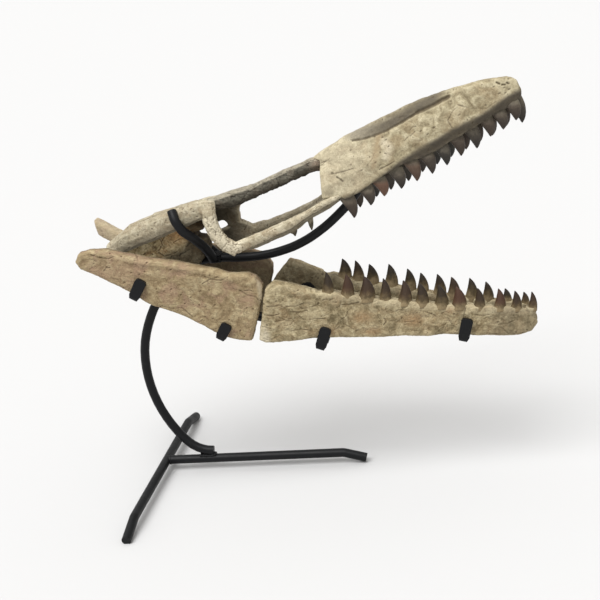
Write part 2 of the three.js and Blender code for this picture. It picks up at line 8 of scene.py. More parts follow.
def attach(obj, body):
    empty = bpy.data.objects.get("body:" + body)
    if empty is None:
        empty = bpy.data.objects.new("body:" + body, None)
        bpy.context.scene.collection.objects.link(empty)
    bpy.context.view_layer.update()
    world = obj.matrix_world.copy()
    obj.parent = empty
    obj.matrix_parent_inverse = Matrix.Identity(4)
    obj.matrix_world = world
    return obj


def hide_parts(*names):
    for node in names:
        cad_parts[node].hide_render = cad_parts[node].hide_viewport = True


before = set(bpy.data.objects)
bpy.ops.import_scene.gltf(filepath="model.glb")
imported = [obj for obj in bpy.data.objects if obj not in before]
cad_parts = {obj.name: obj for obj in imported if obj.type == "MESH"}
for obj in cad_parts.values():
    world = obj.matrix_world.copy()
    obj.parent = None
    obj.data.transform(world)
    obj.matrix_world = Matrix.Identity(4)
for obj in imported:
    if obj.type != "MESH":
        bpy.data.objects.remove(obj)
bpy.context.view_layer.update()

bpy.ops.object.select_all(action="DESELECT")

# Rear bones of the lower jaw: one flat plate on each side, from the jaw joint to the break behind the teeth.
# Tan fossil bone, mottled pink and ochre, rough to the touch, with a rounded ledge along its top. The left
# one ends in a bare rod, and both are cleaned of rock and cracked along their grain.

MIDPLANE = 16.5  # mm from the frame's middle to the skull's own midplane
JAW_BACK, JAW_LONG = -237, 477  # the lower jaw's rear end, and how far the chin lies ahead of it
JAW_BACK_Y, CHIN_Y = 53, 4.9  # how far each half jaw stands from the midplane at its two ends


def at(x, y, z):
    """A place in mm from the skull's midplane, as metres in the frame."""
    return Vector((x, y + MIDPLANE, z)) / 1000


def alone(piece):
    """Selects one piece only."""
    bpy.ops.object.select_all(action="DESELECT")
    piece.select_set(True)
    bpy.context.view_layer.objects.active = piece


def work(piece, kind, **settings):
    """Adds a modifier and applies it."""
    alone(piece)
    change = piece.modifiers.new(kind.lower(), kind)
    for name, value in settings.items():
        setattr(change, name, value)
    bpy.ops.object.modifier_apply(modifier=change.name)


def edit_all():
    """Opens the active piece in edit mode with all of it selected."""
    bpy.ops.object.mode_set(mode="EDIT")
    bpy.ops.mesh.select_all(action="SELECT")


def add(name, data):
    """Puts an object with this mesh, curve or lens into the scene."""
    piece = bpy.data.objects.new(name, data)
    bpy.context.scene.collection.objects.link(piece)
    return piece


def cast(name, nodes, fatten=0.6):
    """One merged copy of some CAD bones, grown a little so that neighbours meet."""
    bpy.ops.object.select_all(action="DESELECT")
    for node_name in nodes:
        part = add(name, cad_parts[node_name].data.copy())
        part.data.materials.clear()
        part.select_set(True)
        bpy.context.view_layer.objects.active = part
    if len(nodes) > 1:
        bpy.ops.object.join()
    piece = bpy.context.view_layer.objects.active
    piece.name = name
    edit_all()
    bpy.ops.mesh.remove_doubles(threshold=0.000002)
    bpy.ops.object.mode_set(mode="OBJECT")
    work(piece, "DISPLACE", strength=fatten / 1000, mid_level=0)
    return piece


def weather(piece, mesh_size, lump=2.0, grit=0.5, rounds=6):
    """Turns a faceted copy into a fine, even mesh with an uneven, flaking surface. lump and grit are how high
    its waves and its splinters stand, in mm."""
    work(piece, "REMESH", mode="VOXEL", voxel_size=mesh_size / 1000, use_smooth_shade=True)
    work(piece, "SMOOTH", factor=0.5, iterations=rounds)
    waves, ripples = (22, lump, "SOFT_NOISE", 0.5), (9, lump * 0.45, "SOFT_NOISE", 0.5)
    splinters = (3.4, grit, "HARD_NOISE", 0.35)
    for size, height, kind, middle in (waves, ripples, splinters):
        pattern = bpy.data.textures.new(piece.name + "_relief", "CLOUDS")
        pattern.noise_scale = size / 1000
        pattern.noise_type = kind
        pattern.noise_depth = 1
        work(piece, "DISPLACE", texture=pattern, texture_coords="LOCAL", strength=height / 1000,
             mid_level=middle)
        bpy.data.textures.remove(pattern)


def read(piece):
    """A piece's points in mm from the midplane, and their normals."""
    mesh = piece.data
    points = np.zeros(len(mesh.vertices) * 3)
    normals = np.zeros(len(mesh.vertices) * 3, np.float32)
    mesh.vertices.foreach_get("co", points)
    mesh.vertex_normals.foreach_get("vector", normals)
    return points.reshape(-1, 3) * 1000 - [0, MIDPLANE, 0], normals.reshape(-1, 3).astype(float)


def reshape(piece, points):
    """Moves a piece's points to these places in mm, and reads them back with their new normals."""
    piece.data.vertices.foreach_set("co", ((points + [0, MIDPLANE, 0]) / 1000).ravel())
    piece.data.update()
    return read(piece)


def paint(piece, name, values):
    """Keeps one value for each point, for the materials to read."""
    layer = piece.data.attributes.get(name) or piece.data.attributes.new(name, "FLOAT", "POINT")
    layer.data.foreach_set("value", np.asarray(values, np.float32))


def ease(low, high, value):
    """0 at low and below, 1 at high and above, and a soft step between them."""
    share = np.clip((value - low) / (high - low), 0, 1)
    return share * share * (3 - 2 * share)


def read_off(x, table):
    """The value at x from a table of (x, value), with straight lines between its rows."""
    return np.interp(x, *zip(*table))


def near_lines(points, lines, wide, flat=1.0):
    """How near each point is to some lines, from 0 at wide and beyond to 1 on a line. flat under 1 makes
    sideways distance count for less."""
    scale = np.array([1, flat, 1])
    found = np.zeros(len(points))
    for line in lines:
        for start, end in zip(line, line[1:]):
            a, b = np.array(start, float) * scale, np.array(end, float) * scale
            low, high = np.minimum(a, b) - wide, np.maximum(a, b) + wide
            close = np.flatnonzero(np.all((points * scale > low) & (points * scale < high), axis=1))
            if not len(close):
                continue
            p = points[close] * scale
            run = b - a
            share = np.clip((p - a) @ run / max(run @ run, 1e-9), 0, 1)
            far = np.linalg.norm(p - a - share[:, None] * run, axis=1)
            found[close] = np.maximum(found[close], 1 - ease(0, wide, far))
    return found


def wandering(points, normals, count, along, seed, steps=(3, 10)):
    """Random cracks over the surface that mostly follow the grain. steps: at least how many steps long one is,
    and the number that it stays under."""
    chance = np.random.default_rng(seed)
    tree = kdtree.KDTree(len(points))
    for i, point in enumerate(points):
        tree.insert(point, i)
    tree.balance()
    lines = []
    for _ in range(count):
        i = int(chance.integers(len(points)))
        heading = np.array(along, float) * chance.choice([-1, 1]) + chance.normal(0, 0.3, 3)
        line = [points[i]]
        for _ in range(int(chance.integers(*steps))):
            heading = heading + chance.normal(0, 0.28, 3)
            step = heading - normals[i] * (heading @ normals[i])
            step = step / max(np.linalg.norm(step), 1e-6) * chance.uniform(1.8, 4.2)
            _, i, _ = tree.find(points[i] + step)
            line.append(points[i])
        lines.append(line)
    return lines


def dots(points, count, seed):
    """Random pits, each a very short line."""
    chance = np.random.default_rng(seed)
    chosen = chance.integers(len(points), size=count)
    return [[points[i], points[i] + chance.normal(0, 0.7, 3)] for i in chosen]


CRACK_WIDE, FINE_WIDE, PIT_WIDE = 1.0, 0.85, 1.15


def carve(piece, cracks, chance_cracks, pits, deep=0.5, flat=0.45):
    """Presses known cracks, finer chance ones and pits into the surface, paints where they are and how hollow
    the surface is, and gives back the first."""
    points, normals = read(piece)
    line = near_lines(points, cracks, CRACK_WIDE, flat)
    fine = near_lines(points, chance_cracks, FINE_WIDE) * 0.75
    hole = near_lines(points, pits, PIT_WIDE, flat) * 0.9
    mark = np.maximum(np.maximum(line, fine), hole)
    points, normals = reshape(piece, points - normals * (np.maximum(line, fine) * deep + hole * 0.7)[:, None])
    paint(piece, "cracks_and_openings", mark)
    paint(piece, "hollow", hollowness(piece, points, normals))
    return mark


def hollowness(piece, points, normals, rounds=10, full=0.35):
    """From -1 on an edge to 1 in a hollow that is full mm deep, next to the surface when it is smoothed."""
    edges = np.zeros(len(piece.data.edges) * 2, np.int32)
    piece.data.edges.foreach_get("vertices", edges)
    a, b = edges.reshape(-1, 2).T
    count = np.bincount(a, minlength=len(points)) + np.bincount(b, minlength=len(points))
    soft = points.copy()
    for _ in range(rounds):
        total = np.zeros_like(soft)
        for k in range(3):
            total[:, k] = np.bincount(a, soft[b, k], len(soft)) + np.bincount(b, soft[a, k], len(soft))
        soft = 0.3 * soft + 0.7 * total / np.maximum(count, 1)[:, None]
    return np.clip(np.einsum("ij,ij->i", soft - points, normals) / full, -1, 1)


def tone(red, green, blue):
    """A colour as seen, 0 to 255, made linear."""
    linear = [((c / 255 + 0.055) / 1.055) ** 2.4 if c > 10 else c / 3295 for c in (red, green, blue)]
    return (*linear, 1)


def node(tree, kind, sockets=None, **settings):
    """Adds a shader node. A socket is linked to another node's output, or set to a plain value."""
    made = tree.nodes.new("ShaderNode" + kind)
    for name, value in settings.items():
        setattr(made, name, value)
    for name, value in (sockets or {}).items():
        if isinstance(value, bpy.types.NodeSocket):
            tree.links.new(value, made.inputs[name])
        else:
            made.inputs[name].default_value = value
    return made


def mixed(tree, share, under, over, how="MIX"):
    """One colour laid over another by a share."""
    return node(tree, "Mix", {0: share, 6: under, 7: over}, data_type="RGBA", blend_type=how).outputs[2]


def maths(tree, operation, a, b=0.0, clamp=False):
    return node(tree, "Math", {0: a, 1: b}, operation=operation, use_clamp=clamp).outputs[0]


def times(tree, first, *others, clamp=False):
    for other in others:
        first = maths(tree, "MULTIPLY", first, other, clamp)
    return first


def plus(tree, first, *others):
    for other in others:
        first = maths(tree, "ADD", first, other)
    return first


def band(tree, value, low, high, out_low=0.0, out_high=1.0):
    """Value from low to high, as out_low to out_high."""
    sockets = {"Value": value, "From Min": low, "From Max": high, "To Min": out_low, "To Max": out_high}
    return node(tree, "MapRange", sockets).outputs[0]


def cloud(tree, place, scale, detail=3.0, rough=0.55, warp=0.0):
    """Soft noise, about scale patches to the metre."""
    sockets = {"Vector": place, "Scale": scale, "Detail": detail, "Roughness": rough, "Distortion": warp}
    return node(tree, "TexNoise", sockets).outputs["Fac"]


def painted(tree, name):
    """What paint kept for each point."""
    return node(tree, "Attribute", attribute_name=name).outputs["Fac"]


def uneven(tree, name, pattern, high, least, clamp=True):
    """A painted area that a pattern breaks up, down to least of its strength."""
    return times(tree, painted(tree, name), band(tree, pattern, 0.3, high, least, 1.0), clamp=clamp)


def crease(tree, place, scale, wide, where, detail=5.0):
    """Thin, broken, winding lines: 1 on a line, and only where another pattern is high."""
    ridge = maths(tree, "ABSOLUTE", maths(tree, "SUBTRACT", cloud(tree, place, scale, detail, 0.6, 0.5), 0.5))
    return times(tree, band(tree, ridge, 0.0, wide, 1.0, 0.0), band(tree, where, 0.47, 0.58))


def ramped(tree, share, stops):
    """A run of colours. Each stop is its share of the way and its colour."""
    ramp = node(tree, "ValToRGB", {"Fac": share})
    made = ramp.color_ramp.elements
    made[0].position, made[0].color = stops[0]
    made[1].position, made[1].color = stops[-1]
    for place, colour in stops[1:-1]:
        made.new(place).color = colour
    return ramp.outputs["Color"]


def shaded(tree, colour, light):
    """A colour made lighter or darker by a pattern that lies round 1."""
    grey = node(tree, "CombineColor", {0: light, 1: light, 2: light}).outputs[0]
    return mixed(tree, 1.0, colour, grey, "MULTIPLY")


def new_finish(name):
    """A bare material, its nodes, and the place on the piece that its patterns read."""
    material = bpy.data.materials.new(name)
    material.use_nodes = True
    tree = material.node_tree
    tree.nodes.clear()
    return material, tree, node(tree, "TexCoord").outputs["Object"]


def coat(tree, colour, rough, height, bump, deep, specular=0.25):
    """Ends a material. Its relief is a pattern deep metres high, bump of which shows."""
    relief = node(tree, "Bump", {"Height": height, "Strength": bump, "Distance": deep}).outputs[0]
    surface = node(tree, "BsdfPrincipled", {"Base Color": colour, "Roughness": rough, "Normal": relief,
                                            "Specular IOR Level": specular})
    tree.links.new(surface.outputs[0], node(tree, "OutputMaterial").inputs[0])


def bone_finish(name, tones, stain, grey, dust_and_hollow_shade, tilt=0.0, pores=0.5, streaks=0.5, flakes=0.5, warmth=0.4,
                bump=0.6):
    """Fossil bone. tones: deep, middle, light. stain and grey: its colours where it is painted so. dust: what
    lies in its cracks and pits, and the painted shade in its hollows and openings. tilt: the grain's slope
    seen from the side, in degrees. pores, streaks, flakes and warmth: how much of each shows."""
    material, tree, place = new_finish(name)
    turned = node(tree, "Mapping", {"Vector": place, "Rotation": (0, math.radians(tilt), 0)}).outputs[0]
    lengthwise = node(tree, "Mapping", {"Vector": turned, "Scale": (0.28, 1, 1)}).outputs[0]
    patches = cloud(tree, place, 48, 4, 0.6, 0.8)
    blotches = cloud(tree, turned, 85, 4, 0.55, 1.0)
    mottle = cloud(tree, turned, 330, 5, 0.66, 1.6)
    speck = cloud(tree, place, 900, 2, 0.6)
    grain = cloud(tree, lengthwise, 300, 5, 0.68, 0.8)
    splits = crease(tree, lengthwise, 80, 0.009, blotches)
    fine_splits = crease(tree, lengthwise, 210, 0.016, patches, 4)
    splits = times(tree, maths(tree, "MAXIMUM", splits, times(tree, fine_splits, 0.7)), flakes)
    spots = node(tree, "TexVoronoi", {"Vector": place, "Scale": 380}).outputs["Distance"]
    porous = band(tree, blotches, 0.66 - 0.2 * pores, 0.72 - 0.2 * pores)
    spots = times(tree, band(tree, spots, 0.08, 0.26, 1.0, 0.0), porous)

    level = plus(tree, times(tree, blotches, 0.72), times(tree, mottle, 0.28))
    colour = ramped(tree, level, [(0.38, tones[0]), (0.49, tones[1]), (0.61, tones[2])])
    warm = times(tree, band(tree, patches, 0.48, 0.62), warmth)
    stained = uneven(tree, "stain", mottle, 0.55, 0.4, clamp=False)
    # Grey paint: weathering on most bones, and painted shade along the snout's gum.
    weathered_and_shaded = uneven(tree, "grey", blotches, 0.55, 0.8)
    # Pale paint: bleached bone, and on the roof a painted highlight on the faces that look up.
    paled = uneven(tree, "pale", mottle, 0.6, 0.6)
    colour = mixed(tree, maths(tree, "MAXIMUM", warm, stained, clamp=True), colour, stain)
    colour = mixed(tree, weathered_and_shaded, colour, grey)
    colour = mixed(tree, paled, colour, BLEACH_AND_HIGHLIGHT)
    streaked = band(tree, grain, 0.32, 0.68, 1 - 0.22 * streaks, 1 + 0.17 * streaks)
    speckled = band(tree, speck, 0.25, 0.75, 0.94, 1.05)
    colour = shaded(tree, colour, times(tree, streaked, speckled, band(tree, mottle, 0.35, 0.65, 0.94, 1.07)))

    hollow = painted(tree, "hollow")
    worn = times(tree, band(tree, hollow, 0.0, -1.0, 0.0, 0.5), maths(tree, "SUBTRACT", 1.0, weathered_and_shaded))
    colour = mixed(tree, worn, colour, tones[2])
    # Painted shade: hollows darken toward the crack colour, as the shade that falls in them.
    colour = mixed(tree, band(tree, hollow, 0.1, 1.0, 0.0, 0.6), colour, dust_and_hollow_shade)
    # Cracks and pits darken toward the crack colour. On the snout, the nostril slit and nerve holes are
    # painted dark this way, as the shade inside them.
    marked = times(tree, painted(tree, "cracks_and_openings"), band(tree, grain, 0.39, 0.57, 0.22, 0.85))
    marked = maths(tree, "MAXIMUM", marked, times(tree, splits, 0.75))
    marked = maths(tree, "MAXIMUM", marked, times(tree, spots, 0.7), clamp=True)
    colour = mixed(tree, marked, colour, dust_and_hollow_shade)
    colour = mixed(tree, painted(tree, "shade"), colour, IN_SHADE)

    height = plus(tree, times(tree, grain, 0.5 * streaks), times(tree, speck, 0.12), times(tree, mottle, 0.5),
                  times(tree, blotches, 1.2))
    height = maths(tree, "SUBTRACT", height, times(tree, marked, 0.4))
    coat(tree, colour, band(tree, mottle, 0.3, 0.7, 0.72, 0.95), height, bump, 0.0016)
    return material


def place_on(piece, nodes, material):
    """Gives a finished piece its material and its place on the object."""
    piece.data.materials.clear()
    piece.data.materials.append(material)
    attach(piece, "root")
    if nodes:
        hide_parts(*nodes)


def settle(piece, nodes, material):
    """Ends a bone. What wasn't painted on it is nowhere on it."""
    for name in ("stain", "grey", "pale", "shade"):
        if name not in piece.data.attributes:
            paint(piece, name, np.zeros(len(piece.data.vertices)))
    alone(piece)
    bpy.ops.object.shade_smooth()
    place_on(piece, nodes, material)


def ramus_y(x, side):
    """The y of the middle of a half jaw's plate: side is -1 for the right one, 1 for the left."""
    return side * (JAW_BACK_Y + (CHIN_Y - JAW_BACK_Y) * (x - JAW_BACK) / JAW_LONG)


# The pale colour: bleached bone, and the painted highlight on the roof's top.
BLEACH_AND_HIGHLIGHT = tone(212, 202, 178)
IN_SHADE = tone(46, 40, 30)
TAN_BONE = bone_finish(
    "tan_bone", (tone(122, 104, 77), tone(147, 129, 98), tone(173, 157, 124)), stain=tone(152, 126, 103),
    grey=tone(134, 124, 104), dust_and_hollow_shade=tone(84, 68, 50), tilt=-14, pores=0.4, streaks=0.6, flakes=0.5,
    warmth=0.75, bump=1.1)
REAR_CRACKS = [
    [(-205, -58, 264), (-202, -57, 267), (-198, -57, 267)],
    [(-161, -53, 214), (-150, -52, 219), (-140, -51, 215), (-129, -50, 215), (-120, -49, 204)],
    [(-216, -59, 283), (-206, -58, 279), (-198, -57, 277), (-190, -57, 279)],
    [(-66, -44, 228), (-58, -43, 221), (-50, -42, 219), (-46, -42, 212)],
    [(-104, -48, 239), (-96, -47, 243), (-84, -46, 241), (-76, -45, 244)],
]
REAR_PITS = [
    (-213, -59, 282), (-206, -58, 279), (-215, -59, 273), (-202, -57, 268), (-177, -55, 259),
    (-169, -54, 256), (-135, -51, 258), (-159, -53, 268), (-146, -52, 235), (-119, -49, 225),
    (-126, -50, 219), (-88, -46, 245), (-95, -47, 214), (-62, -43, 207), (-129, -50, 229),
    (-199, -57, 229), (-186, -56, 249), (-108, -48, 231),
]
REAR_TOP = [(-219, 286), (-203, 284.5), (-163, 271.5), (-129, 263), (-89, 250.5), (-77, 245), (-56, 243)]
REAR_GRAIN = (0.96, 0, -0.28)
TROUGH_DOWN, BELLY_DOWN = 9, 34  # how far the trough and the belly lie below the top edge

for side_name, side, seed in (("right", -1, 11), ("left", 1, 12)):
    rear = cast("rear_jaw_" + side_name, ["jaw_rear_" + side_name], fatten=0.6)
    weather(rear, 0.78, lump=2.0, grit=0.5, rounds=5)
    points, normals = read(rear)
    x, y, z = points.T
    outward = (y - ramus_y(x, side)) * side  # from the plate's middle, toward its outer face
    below_top = read_off(x, REAR_TOP) - z
    outer = ease(0, 4, outward)
    along_top = ease(-190, -165, x) * (1 - ease(-66, -54, x))
    ledge = outer * (1 - ease(3, 6.5, below_top)) * along_top
    trough = outer * np.exp(-((below_top - TROUGH_DOWN) / 3.5) ** 2) * along_top
    belly = outer * np.exp(-((below_top - BELLY_DOWN) / 22) ** 2) * ease(-150, -90, x)
    points[:, 1] += side * (0.4 * ledge - 0.45 * trough - 0.7 * belly)
    # The lower edge sags, most of all in one place, and the left plate reaches further back.
    sag = ease(-190, -160, x) * (1 - ease(-105, -90, x)) + 2.3 * np.exp(-((x + 156) / 17) ** 2)
    points[:, 2] -= ease(15, 35, below_top) * sag
    if side > 0:
        points[:, 0] -= 1.6 * ease(-60, -40, x)
    points, normals = reshape(rear, points)
    pits = dots(points, 70, seed + 50)
    if side < 0:
        pits += [[p, (p[0] + 1.2, p[1], p[2] + 0.4)] for p in REAR_PITS]
    chance_cracks = wandering(points, normals, 16, REAR_GRAIN, seed, (2, 6))
    carve(rear, REAR_CRACKS if side < 0 else [], chance_cracks, pits)
    inside = 1 - ease(-4, 2, outward)
    bare_rod = (side > 0) * (1 - ease(-215, -195, x))
    paint(rear, "shade", inside * (0.6 if side > 0 else 0.45) * (1 - bare_rod))
    paint(rear, "pale", np.maximum(0.45 * ease(-49, -45, x) * outer, 0.35 * bare_rod))
    paint(rear, "stain", 0.6 * np.exp(-(((x + 190) / 30) ** 2 + ((z - 262) / 12) ** 2)) * outer)
    settle(rear, ["jaw_rear_" + side_name], TAN_BONE)

# Tooth-bearing bones of the lower jaw: a long plate on each side, which meet at the chin. Yellow-brown fossil
# bone with a grain along its length, split and flaked, and patched with orange. The upper edge carries the
# teeth, each in its own socket, with a low rim of lighter bone round it.

YELLOW_BONE = bone_finish(
    "yellow_bone", (tone(108, 96, 70), tone(143, 129, 99), tone(178, 165, 133)), stain=tone(146, 119, 86),
    grey=tone(132, 122, 102), dust_and_hollow_shade=tone(70, 57, 40), tilt=4, pores=0.4, streaks=1.0, flakes=0.7, warmth=0.3,
    bump=0.75)
LOWER_TEETH = {  # x of each tooth, and its length from the bone's edge
    "right": [(23, 22), (43, 23.5), (63, 24), (82, 24), (102, 23.5), (120, 23), (140, 22.5), (158, 22),
              (179, 21.5), (200, 20.5), (217, 19.5), (234, 18)],
    "left": [(34, 21), (49, 23), (64, 22.5), (84, 25), (104, 24), (118, 21), (136, 23), (151, 21.5),
             (170, 22.5), (187, 21.5), (207, 15), (226, 13)],
}
DENTARY_CRACKS = [
    [(166, -18, 183), (165, -18, 180), (163, -18, 172), (164, -18, 160)],
    [(85, -27, 194), (83.5, -27, 191), (84.5, -27, 187)],
    [(80.5, -27, 181), (82.5, -27, 177), (79.5, -28, 173)],
    [(-40, -42, 207), (-32, -41, 206), (-26, -40, 207)],
    [(-20, -40, 205), (-10, -39, 204), (-2, -37, 206)],
    [(-44, -42, 198), (-36, -41, 196), (-28, -40, 197)],
    [(-16, -39, 199), (-8, -38, 197), (2, -37, 198)],
    [(-34, -41, 189), (-24, -40, 190), (-16, -40, 188)],
    [(0, -38, 187), (8, -37, 188), (19, -35, 187)],
    [(-18, -40, 177), (-8, -38, 178), (0, -37, 176)],
    [(38, -33, 201), (46, -31, 200), (56, -30, 201)],
    [(174, -17, 175), (182, -16, 173), (190, -15, 173)],
    [(200, -13, 163), (208, -13, 161), (216, -12, 164)],
]
DENTARY_GRAIN = (0.99, 0, -0.06)
ORANGE_PATCHES = [(58, 184, 11), (111, 176, 13), (67, 167, 9), (190, 184, 8), (150, 182, 7), (20, 172, 10)]
FIRST_TOOTH, FIRST_EDGE = 24, 213  # the upper edge's height at the rearmost tooth
ROW_BACK = 12  # where the toothed edge begins, ahead of the break
SOCKET_HALF = 5.8
TORN_TOP = 300  # above all of the bone that is cut away


def dentary_edge(x):
    """The height of the upper edge between the teeth."""
    return FIRST_EDGE - 0.27 * (x - FIRST_TOOTH) + 0.0004 * (x - FIRST_TOOTH) ** 2


def slab(outline):
    """A block with this outline of (x, z), right across the object, to cut with."""
    mesh = bpy.data.meshes.new("cutter")
    mesh.from_pydata([at(x, -150, z) for x, z in outline], [], [list(range(len(outline)))])
    cutter = add("cutter", mesh)
    alone(cutter)
    edit_all()
    bpy.ops.mesh.extrude_region_move(TRANSFORM_OT_translate={"value": (0, 0.3, 0)})
    bpy.ops.mesh.select_all(action="SELECT")
    bpy.ops.mesh.normals_make_consistent(inside=False)
    bpy.ops.object.mode_set(mode="OBJECT")
    return cutter


def cut_off(piece, outline):
    """Cuts away what lies inside this outline of (x, z)."""
    cutter = slab(outline)
    work(piece, "BOOLEAN", operation="DIFFERENCE", object=cutter, solver="EXACT", use_self=True)
    bpy.data.objects.remove(cutter)


for side_name, side, seed in (("right", -1, 21), ("left", 1, 22)):
    dentary = cast("tooth_jaw_" + side_name, ["dentary_" + side_name], fatten=0.5)
    rim = [(x, dentary_edge(x) - 0.4) for x in (ROW_BACK, 40, 80, 120, 160, 200, 226, 236, 250)]
    cut_off(dentary, [(ROW_BACK, TORN_TOP)] + rim + [(250, TORN_TOP)])
    weather(dentary, 0.78, lump=2.0, grit=0.6, rounds=5)
    points, normals = read(dentary)
    x, y, z = points.T
    outward = (y - ramus_y(x, side)) * side
    outer = ease(0, 4, outward)
    rise = z - dentary_edge(x)
    sockets = np.zeros(len(points))
    for tooth_x, _ in LOWER_TEETH[side_name]:
        sockets = np.maximum(sockets, np.exp(-((x - tooth_x) / SOCKET_HALF) ** 4))
    # A crest swells round each socket and draws in between them, over a shallow groove.
    crest = np.exp(-((rise + 1) / 4.0) ** 2) * ease(14, 24, x)
    under = np.exp(-((rise + 11) / 4.5) ** 2) * ease(10, 30, x)
    points[:, 1] += side * outer * (0.5 * crest * sockets - 0.3 * crest * (1 - sockets) - 0.4 * under)
    points[:, 2] += ease(-7, 0, rise) * ease(14, 24, x) * (1.0 * (1 - sockets) + 2.0)
    # The left plate's torn end leans a little further back.
    if side > 0:
        points[:, 0] -= 1.8 * (1 - ease(-50, -25, x)) * ease(185, 205, z)
    points, normals = reshape(dentary, points)
    chance_cracks = wandering(points, normals, 90, DENTARY_GRAIN, seed, (1, 5))
    carve(dentary, DENTARY_CRACKS if side < 0 else [], chance_cracks, dots(points, 60, seed + 50), deep=0.45)
    inside = 1 - ease(-4, 2, outward)
    lit_rim = ease(15, 50, x) * ease(-16, -8, rise)
    dim = inside * (0.5 if side > 0 else 0.35) * (1 - 0.75 * lit_rim)
    paint(dentary, "shade", np.maximum(dim, 0.16 * ease(180, 200, x)))
    chipped = (1 - ease(-46, -38, x)) * (1 - ease(175, 195, z))
    paint(dentary, "pale", np.maximum(0.15 * ease(-7, -2, rise) * ease(12, 24, x), 0.8 * chipped))
    orange = sum(np.exp(-(((x - px) / size) ** 2 + ((z - pz) / (size * 0.6)) ** 2))
                 for px, pz, size in ORANGE_PATCHES)
    paint(dentary, "stain", np.clip(orange, 0, 1) * outer)
    paint(dentary, "grey", 0.25 * ease(180, 200, x) * outer)
    settle(dentary, ["dentary_" + side_name], YELLOW_BONE)

# Teeth of the lower jaw: twelve on each side, stout cones that lean toward the snout and curve back at the
# tip. Dark brown enamel, nearly black at the tip and paler where it meets the bone, finely ridged along its
# length and glossier than the bone. Each root sits fast in its socket.

CROWN_SHAPE = [  # share of the length from the root, then the rear and the front edge there, in half widths
    (-0.08, -1.0, 1.0), (0, -1.0, 1.0), (0.15, -0.87, 0.99), (0.3, -0.75, 0.94), (0.45, -0.65, 0.81),
    (0.6, -0.56, 0.62), (0.75, -0.49, 0.36), (0.88, -0.44, 0.04), (0.96, -0.42, -0.22), (1, -0.38, -0.34),
]
CROWN_LEVELS, CROWN_BACK, CROWN_FRONT = zip(*CROWN_SHAPE)
CROWN_SIDES = 18


def crown():
    """A stub of unit length and radius, ringed where a tooth changes shape."""
    bpy.ops.object.select_all(action="DESELECT")
    bpy.ops.mesh.primitive_circle_add(vertices=CROWN_SIDES, radius=1, fill_type="NGON",
                                      location=(0, 0, CROWN_LEVELS[0]))
    tooth = bpy.context.active_object
    edit_all()
    for low, high in zip(CROWN_LEVELS, CROWN_LEVELS[1:]):
        bpy.ops.mesh.extrude_region_move(TRANSFORM_OT_translate={"value": (0, 0, high - low)})
    bpy.ops.mesh.merge(type="CENTER")
    bpy.ops.mesh.select_all(action="SELECT")
    bpy.ops.mesh.normals_make_consistent(inside=False)
    bpy.ops.object.mode_set(mode="OBJECT")
    bpy.ops.object.transform_apply(location=True, rotation=True, scale=True)
    work(tooth, "SUBSURF", levels=1, render_levels=1, subdivision_type="SIMPLE")
    return tooth


UNIT_CROWN = crown()


def tooth_row(name, spots, upward, lean, deep, material, seed, paler=0.0, neck=1.0):
    """Teeth as one piece. Each spot is x, y, z of its root, its length and width, and how red it is. lean is
    toward the snout, per length, and deep is a tooth's thickness from cheek to tongue, in widths. paler draws
    the light root's colour further up, and neck narrows the root from cheek to tongue."""
    chance = np.random.default_rng(seed)
    unit = np.zeros(len(UNIT_CROWN.data.vertices) * 3)
    UNIT_CROWN.data.vertices.foreach_get("co", unit)
    ux, uy, t = unit.reshape(-1, 3).T
    angle = np.arctan2(uy, ux)
    back = np.interp(t, CROWN_LEVELS, CROWN_BACK)
    fore = np.interp(t, CROWN_LEVELS, CROWN_FRONT)
    out = np.hypot(ux, uy)
    fluted = 1 - 0.02 * np.cos(7 * angle) * np.clip(t, 0, 1)
    run = (back + fore) / 2 + (fore - back) / 2 * np.cos(angle) * out * fluted
    girth = (fore - back) / 2 * np.sin(angle) * out * fluted
    necked = neck + (1 - neck) * ease(0.02, 0.36, t)
    bpy.ops.object.select_all(action="DESELECT")
    for x, y, z, long, wide, red in spots:
        one = add(name, UNIT_CROWN.data.copy())
        twist = chance.normal(0, 0.05)
        tilt = lean + chance.normal(0, 0.02)
        points = np.stack([
            x + long * tilt * t + run * wide / 2,
            y + girth * wide / 2 * deep * necked + twist * long * t,
            z + upward * long * t,
        ], axis=1)
        reshape(one, points)
        if upward < 0:
            one.data.flip_normals()
        paint(one, "along", t - paler)
        paint(one, "red", np.full(len(t), red + chance.normal(0, 0.08)))
        ring = one.data.attributes.new("ring", "FLOAT_VECTOR", "POINT")
        around = np.stack([np.cos(angle), np.sin(angle), np.full(len(t), chance.uniform(0, 9))], axis=1)
        ring.data.foreach_set("vector", around.astype(np.float32).ravel())
        one.select_set(True)
        bpy.context.view_layer.objects.active = one
    bpy.ops.object.join()
    row = bpy.context.view_layer.objects.active
    row.name = name
    bpy.ops.object.shade_smooth()
    place_on(row, [], material)


def enamel_finish(name, root, low, middle, tip, red):
    """Tooth enamel: its colours from the root to the tip, and that of the redder teeth."""
    material, tree, place = new_finish(name)
    ring = node(tree, "Attribute", attribute_name="ring").outputs["Vector"]
    along = painted(tree, "along")
    mottle = cloud(tree, place, 190, 4, 0.6, 0.3)
    flutes = node(tree, "Mapping", {"Vector": ring, "Scale": (5, 5, 1)}).outputs[0]
    ridge = cloud(tree, flutes, 2.2, 3, 0.6)
    share = plus(tree, along, band(tree, mottle, 0.3, 0.7, -0.14, 0.14),
                 band(tree, ridge, 0.3, 0.7, -0.05, 0.05))
    colour = ramped(tree, share, [(0.0, root), (0.22, low), (0.45, middle), (0.95, tip)])
    reddened = times(tree, painted(tree, "red"), band(tree, along, 0.05, 0.3), clamp=True)
    colour = mixed(tree, reddened, colour, red)
    speckled = band(tree, cloud(tree, place, 800, 3), 0.3, 0.7, 0.86, 1.1)
    colour = shaded(tree, colour, times(tree, band(tree, ridge, 0.25, 0.75, 0.8, 1.16), speckled))
    height = plus(tree, ridge, times(tree, mottle, 0.5))
    coat(tree, colour, band(tree, along, 0.0, 0.35, 0.75, 0.5), height, 0.35, 0.0006)
    return material


